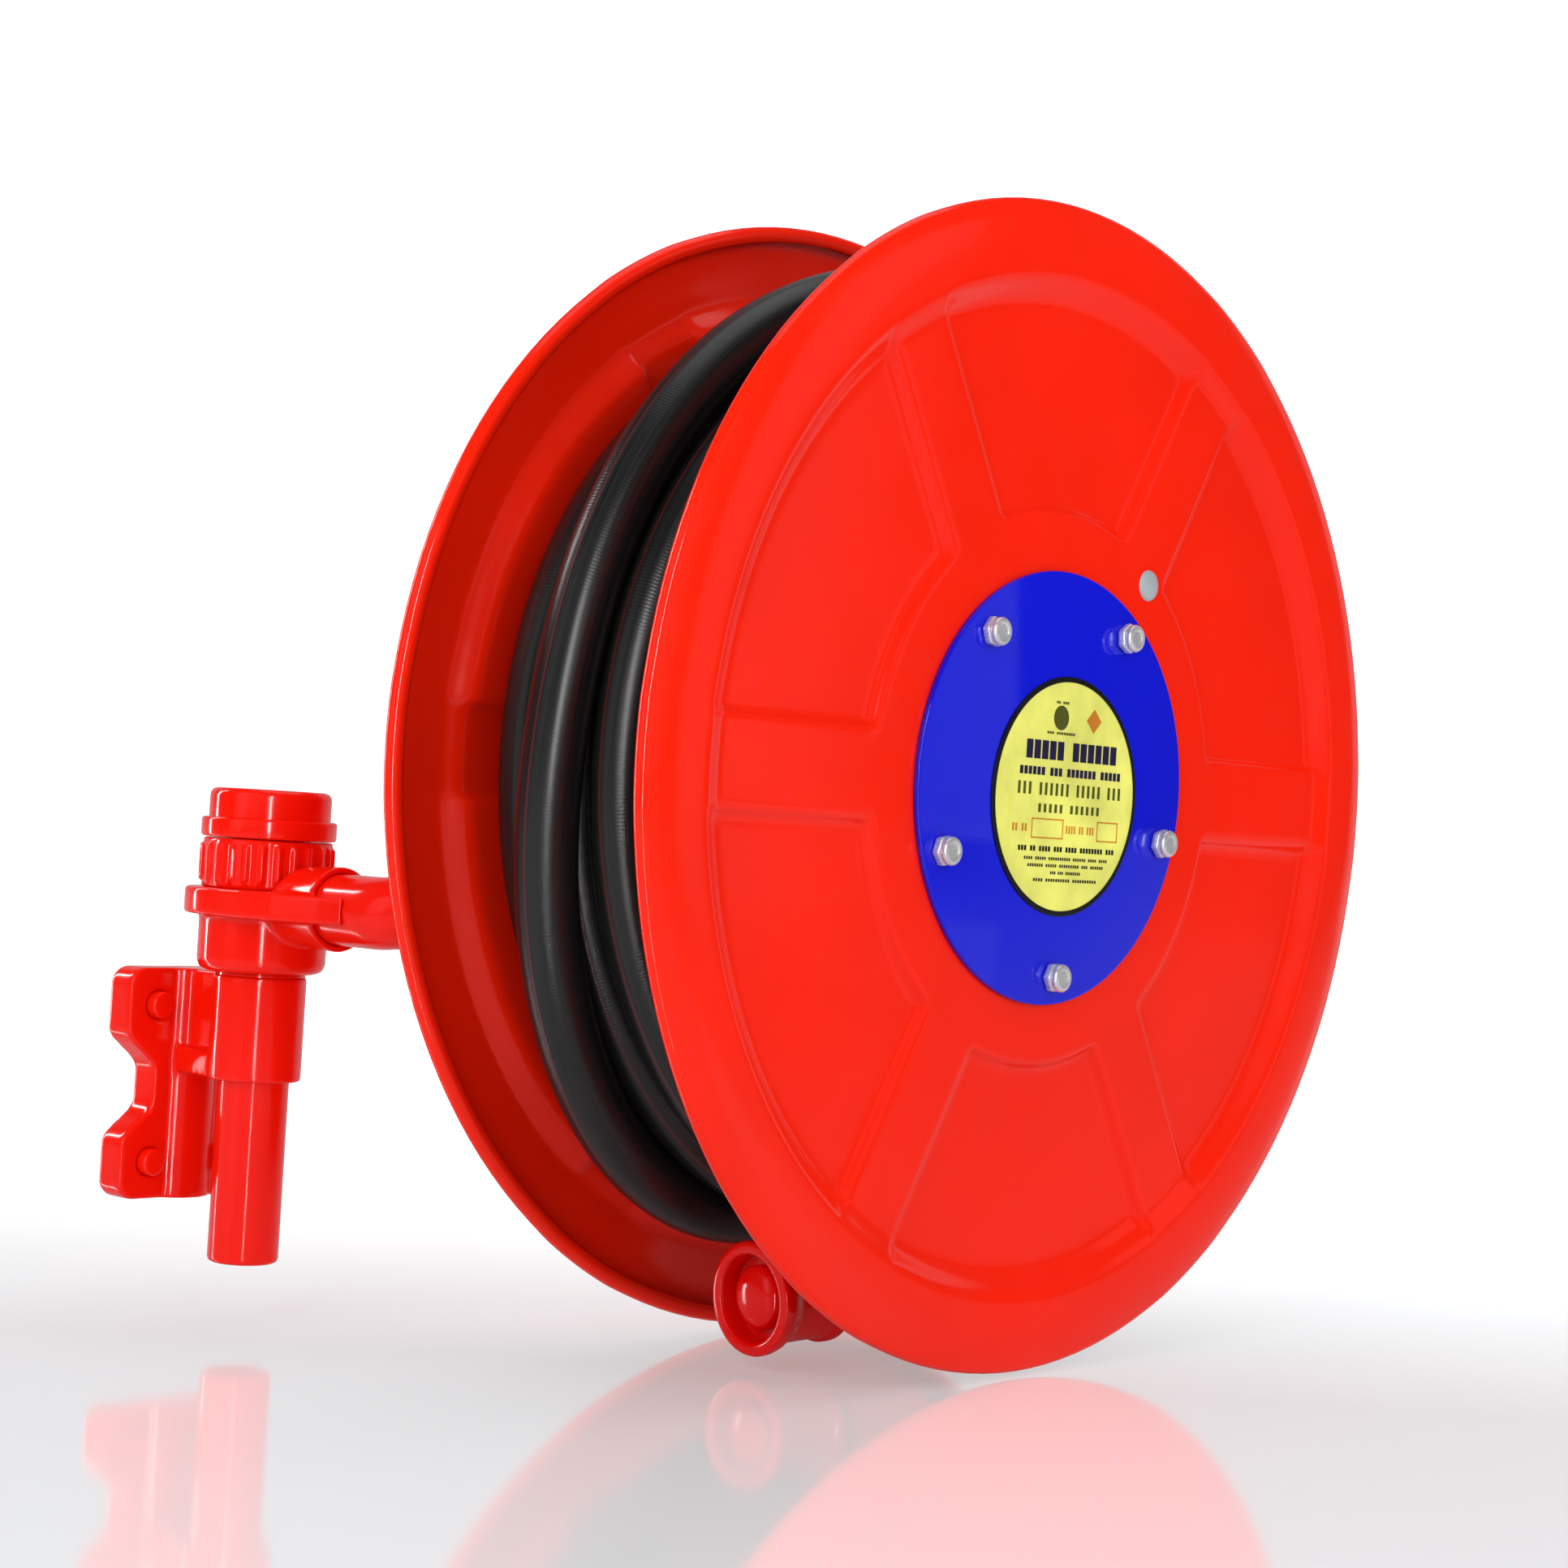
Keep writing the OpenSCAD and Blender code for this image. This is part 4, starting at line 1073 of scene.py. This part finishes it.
@dataclass
class Winding:
    """The hose: from the outlet elbow round the drum in four layers, over and to the nozzle."""

    radius: float = 0.01425
    pitch: float = 0.0288
    first_layer: float = 0.1215
    layer_step: float = 0.0285
    lanes: int = 5
    layers: int = 4
    ring_gap: float = 0.010
    sides: int = 16
    crossing: float = 30.0
    first_crossing: float = -50.0
    outlet_turn: float = 20.0
    outlet_across: float = -0.0592

    def at_angle(self, bearing: float, radius: float, across: float) -> Vector:
        """Point at an unwound angle in degrees, a radius and a distance along the reel axis."""
        a = math.radians(bearing)
        return REEL_AXIS + Vector((across, radius * math.cos(a), radius * math.sin(a)))

    def lane_of(self, turn: int) -> tuple[int, int]:
        """Lane and layer of a turn, back and forth across the drum."""
        layer, place_in = divmod(turn, self.lanes)
        return (place_in if layer % 2 == 0 else self.lanes - 1 - place_in), layer

    def spot(self, turn: int) -> tuple[float, float]:
        """Distance across and radius of a turn."""
        turn = min(max(turn, 0), self.lanes * self.layers - 1)
        lane, layer = self.lane_of(turn)
        across = (lane - (self.lanes - 1) / 2.0) * self.pitch
        return across, self.first_layer + self.layer_step * layer

    def wound(self, travelled: float) -> tuple[float, float]:
        """Distance across and radius after turning so many degrees from the first crossing."""
        turn = math.floor(travelled / 360.0 + 0.5)
        share = ramp(travelled - turn * 360.0, -self.crossing, 2.0 * self.crossing, eased=True)
        before, after = self.spot(turn - 1), self.spot(turn)
        across = before[0] + (after[0] - before[0]) * share
        radius = before[1] + (after[1] - before[1]) * share
        return across, radius

    def bump(self, bearing: float, across: float, radius: float) -> float:
        """Rise of the outer layers where they lie over the outlet elbow."""
        layer = round((radius - self.first_layer) / self.layer_step)
        if layer < 1:
            return 0.0
        away = (bearing + self.outlet_turn + 180.0) % 360.0 - 180.0
        near = max(0.0, 1.0 - abs(across + 2.0 * self.pitch) / self.pitch)
        return (0.013 - 0.003 * layer) * near * math.exp(-(away / 28.0) ** 2)

    def over(self, across: float) -> float:
        """Radius of the last turn where it rides over the outer layer in the second lane."""
        outer = self.first_layer + self.layer_step * (self.layers - 1)
        reach = 2.0 * self.radius
        return outer + math.sqrt(max(reach ** 2 - (across + self.pitch) ** 2, 0.0))

    def route(self) -> list[Vector]:
        """Every point of the hose's middle line, from the elbow to the ferrule."""
        turned_by = Matrix.Rotation(math.radians(self.outlet_turn), 4, "X")
        outlet = Matrix.Translation(REEL_AXIS) @ turned_by
        line = [outlet @ Vector((self.outlet_across, 0.122, -0.014 - 0.012 * k))
                for k in range(4)]
        start, cross_at = -2.3, self.first_crossing
        bearing = start - 3.0
        while bearing > cross_at - self.crossing:
            t = (start - bearing) / (start - cross_at + self.crossing)
            rise = (2 * t ** 3 - 3 * t ** 2 + 1) * 0.13185 + (t ** 3 - 2 * t ** 2 + t) * 0.052
            radius = rise + (3 * t ** 2 - 2 * t ** 3) * self.first_layer
            line.append(self.at_angle(bearing, radius, self.outlet_across + 0.0016 * t))
            bearing -= 4.0
        turns = self.lanes * self.layers
        travelled = self.crossing + 2.0
        while travelled < turns * 360.0 - 2.0:
            across, radius = self.wound(travelled)
            where = cross_at - travelled
            line.append(self.at_angle(where, radius + self.bump(where, across, radius), across))
            travelled += 2.6
        return line + self.last_turn()

    def last_turn(self) -> list[Vector]:
        """The turn that climbs from the back lane, lies over the others and ends in the ferrule."""
        line = []
        bearing = -52.0
        while bearing > -366.0:
            across = -2.0 * self.pitch + 1.5 * self.pitch * ramp(-bearing, 82.0, 112.0, eased=True)
            loose = 0.0045 * ramp(-bearing, 190.0, 80.0, eased=True)
            line.append(self.at_angle(bearing, self.over(across) + loose, across))
            bearing -= 2.4
        stops = [(0.266, 0.4591, 0.1254), (0.269, 0.4427, 0.0677), (0.274, 0.409, 0.014),
                 (0.282, 0.365, -0.030), (0.2895, 0.312, -0.060), (0.2945, 0.270, -0.070),
                 (0.2938, 0.2339, -0.0713)]
        nodes = [line[-6]] + [Vector(p) for p in stops]
        nodes.append(Vector(stops[-1]) + Nozzle().seat().to_3x3() @ Vector((0.0, 0.0, 0.030)))
        nodes.append(nodes[-1] + (nodes[-1] - nodes[-2]))
        for i in range(1, len(nodes) - 2):
            a, b, c, d = nodes[i - 1], nodes[i], nodes[i + 1], nodes[i + 2]
            for k in range(8):
                t = k / 8.0
                line.append((2 * b + (c - a) * t + (2 * a - 5 * b + 4 * c - d) * t ** 2
                             + (3 * b - a - 3 * c + d) * t ** 3) / 2)
        line.append(nodes[-2])
        return line

    def evenly(self, line: Sequence[Vector]) -> list[Vector]:
        """Points at an even gap along a smoothed line."""
        points = [p.copy() for p in line]
        for _ in range(2):
            inner = [(points[i - 1] + 2 * points[i] + points[i + 1]) / 4
                     for i in range(1, len(points) - 1)]
            points = [points[0]] + inner + [points[-1]]
        total = sum((points[i + 1] - points[i]).length for i in range(len(points) - 1))
        count = round(total / self.ring_gap)
        gap, out, left = total / count, [points[0]], total / count
        for i in range(len(points) - 1):
            a, b = points[i], points[i + 1]
            long = (b - a).length
            done = 0.0
            while long - done >= left - 1e-9 and len(out) < count:
                done += left
                out.append(a.lerp(b, min(done / long, 1.0)))
                left = gap
            left -= long - done
        out.append(points[-1])
        return out

    def build(self, pieces: Sequence[bpy.types.Object]) -> None:
        """Args:
            pieces: What is on its far end. Not used.
        """
        line = self.evenly(self.route())
        points: list[Point] = []
        for i, p in enumerate(line):
            ahead = (line[min(i + 1, len(line) - 1)] - line[max(i - 1, 0)]).normalized()
            side = (Vector((1, 0, 0)) - ahead * ahead.x).normalized()
            up = ahead.cross(side)
            turn = 0.5 * math.sin(i * self.ring_gap * 1.7)
            for k in range(self.sides):
                a = math.tau * k / self.sides + turn
                points.append(tuple(p + self.radius * (math.cos(a) * side + math.sin(a) * up)))
        n = self.sides
        obj = mesh_object("hose", points, ring_faces(len(line), n))
        smooth(obj, quads_only=True)
        lengths = [0.0]
        for before, after in zip(line, line[1:]):
            lengths.append(lengths[-1] + (after - before).length)
        layer = obj.data.uv_layers.new(name="along_and_round")
        for polygon in obj.data.polygons:
            places = {obj.data.loops[i].vertex_index % n for i in polygon.loop_indices}
            wraps = places == {0, n - 1}
            for loop in polygon.loop_indices:
                ring, k = divmod(obj.data.loops[loop].vertex_index, n)
                layer.data[loop].uv = (lengths[ring], 1.0 if wraps and k == 0 else k / n)
        dress(obj, Paints.HOSE, Body.REEL, "hose_rubber", "hose_start", "hose_coil", "hose_tail")
        tuple(line[0])
        [tuple(p) for p in line]
        LOG.info("hose is %.2f m long", lengths[-1])


# ---------------------------------------------------------------- swing arm and swivel


@dataclass
class SwingArm:
    """Bent pipe that carries the reel, with the swivel it turns on."""

    arm_z: float = 0.091
    bend: float = 0.025
    riser_x: float = 0.171
    start_x: float = 0.100
    end_x: float = 0.196

    def run(self) -> list[Vector]:
        """Points along the pipe, with its two round bends."""
        foot = Vector((self.riser_x, 0.0, self.arm_z))
        head = Vector((self.riser_x, REEL_AXIS.y, REEL_AXIS.z))
        climb = (head - foot).normalized()
        flat = Vector((1.0, 0.0, 0.0))
        line = [Vector((self.start_x, 0.0, self.arm_z))]
        for corner, before, after in ((foot, flat, climb), (head, climb, flat)):
            centre = corner - before * self.bend + after * self.bend
            for k in range(17):
                a = math.radians(90.0 * k / 16)
                line.append(centre - after * self.bend * math.cos(a)
                            + before * self.bend * math.sin(a))
        line.append(Vector((self.end_x + 0.004, REEL_AXIS.y, REEL_AXIS.z)))
        return line

    def pipe(self) -> None:
        """Builds the bent pipe as a round curve."""
        curve = bpy.data.curves.new("arm_pipe", "CURVE")
        curve.dimensions = "3D"
        curve.bevel_depth = PIPE_RADIUS
        curve.bevel_resolution = 10
        curve.use_fill_caps = True
        line = self.run()
        spline = curve.splines.new("POLY")
        spline.points.add(len(line) - 1)
        for point, at in zip(spline.points, line):
            point.co = (*at, 1.0)
        obj = bpy.data.objects.new("arm_pipe", curve)
        bpy.context.scene.collection.objects.link(obj)
        dress(obj, Paints.RED, Body.SWING, "red_enamel", "swing_arm")

    def grip_nut(self) -> None:
        """Builds the ribbed gland nut: a ring of round ribs that end short of both faces."""
        ribs, low, high = 25, 0.0975, 0.1211
        base, rib, per = 0.0306, 0.0016, 8
        heights = ((low, 0.0, -0.0010), (low + 0.0006, 0.0, 0.0), (low + 0.0022, 0.0, 0.0),
                   (low + 0.0036, 0.9, 0.0), (low + 0.0060, 1.0, 0.0), (high - 0.0060, 1.0, 0.0),
                   (high - 0.0036, 0.9, 0.0), (high - 0.0022, 0.0, 0.0), (high - 0.0006, 0.0, 0.0),
                   (high, 0.0, -0.0010))
        points: list[Point] = []
        count = ribs * per
        for z, share, inset in heights:
            for k in range(count):
                a = math.tau * k / count
                crest = max(0.0, math.cos(math.tau * k / per)) ** 0.6
                r = base + inset + rib * share * crest
                points.append((PIVOT.x + r * math.cos(a), r * math.sin(a), z))
        obj = mesh_object("ribbed_nut", points, ring_faces(len(heights), count))
        smooth(obj, quads_only=True)
        bevel(obj, 0.0003, 1, 60.0)
        dress(obj, Paints.RED, Body.SWING, "red_enamel", "grip_nut")

    def body(self) -> None:
        """Builds the cast swivel body with its neck."""
        obj = casting_of("swivel_casting", "swivel_body", 0.0008, 14)
        dress(obj, Paints.RED, Body.SWING, "red_enamel", "swivel_body")

    def build(self) -> None:
        """Builds the arm and its swivel."""
        self.pipe()
        self.body()
        self.grip_nut()
        for node, finish in (("lower_swivel_bush", Paints.BRONZE),
                             ("upper_swivel_bush", Paints.BRONZE), ("swivel_seals", Paints.SEAL),
                             ("hub_shaft", Paints.STEEL), ("shaft_washer", Paints.ZINC),
                             ("shaft_circlip", Paints.SPRING)):
            dress_node(node, finish)


@dataclass
class WallMount:
    """Cast wall bracket with its screws, the inlet pipe, the collar and the open cap."""

    pipe_bottom: float = -0.081
    pipe_top: float = 0.131
    screw_y: float = 0.023
    screw_z: float = 0.038

    def bracket(self) -> None:
        """Builds the bracket casting and the round screw heads."""
        obj = casting_of("bracket_casting", "wall_bracket", 0.0009, 14)
        dress(obj, Paints.RED, Body.MOUNT, "red_enamel", "wall_bracket")
        for number, (sy, sz) in enumerate(((-1, -1), (-1, 1), (1, -1), (1, 1)), 1):
            at = Matrix.Translation((0.0, sy * self.screw_y, sz * self.screw_z)) @ Z_TO_X
            screw = ((0.0, 0.0220), (0.0050, 0.0220), (0.0060, 0.0217), (0.0065, 0.0210),
                     (0.0065, 0.0140), (0.0040, 0.0140), (0.0040, -0.0112), (0.0032, -0.0120),
                     (0.0, -0.0120))
            piece = turned(f"wall_screw_{number}", screw, at, 48)
            dress(piece, Paints.RED, Body.MOUNT, "red_enamel", "wall_screws")

    def stack_pieces(self) -> None:
        """Builds the pipe, the collar and the cap above the swivel."""
        r = PIPE_RADIUS
        pipe = ((0.0135, self.pipe_top - 0.004), (r, self.pipe_top - 0.0002),
                (r, self.pipe_bottom + 0.0022), (r - 0.0006, self.pipe_bottom + 0.0007),
                (r - 0.0020, self.pipe_bottom), (0.0140, self.pipe_bottom),
                (0.0135, self.pipe_bottom + 0.0006), (0.0135, self.pipe_top - 0.004))
        collar = ((r, 0.1310), (0.0312, 0.1310), (0.0321, 0.1301), (0.0321, 0.1224),
                  (0.0312, 0.1215), (r, 0.1215))
        cap = ((0.0, 0.1332), (0.0188, 0.1332), (0.0194, 0.1338), (0.0194, 0.1425),
               (0.0204, 0.1440), (0.0222, 0.1449), (0.0255, 0.1450), (0.0275, 0.1443),
               (0.0286, 0.1428), (0.0289, 0.1410), (0.0289, 0.1310), (0.0200, 0.1310))
        for name, node, profile, *rounding in (("supply_pipe", "inlet_pipe", pipe),
                                               ("stop_collar", "thrust_collar", collar, 0.0009),
                                               ("open_cap", "top_cap", cap)):
            piece = turned(name, profile, ON_PIVOT, 96, *rounding)
            dress(piece, Paints.RED, Body.MOUNT, "red_enamel", node)
        dress_node("thrust_washer", Paints.RED)

    def build(self) -> None:
        """Builds the wall mount."""
        self.bracket()
        self.stack_pieces()


# ---------------------------------------------------------------- making


def main() -> None:
    """Builds the whole model in order."""
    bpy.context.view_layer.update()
    Studio().build()
    pieces = Nozzle().build()
    Winding().build(pieces)
    PressedDisc("front_pressing", "front_disc", 1).build()
    PressedDisc("back_pressing", "back_disc", -1).build()
    Hub().build()
    SwingArm().build()
    WallMount().build()
    LOG.info("sizes written")


if __name__ == "__main__":
    main()
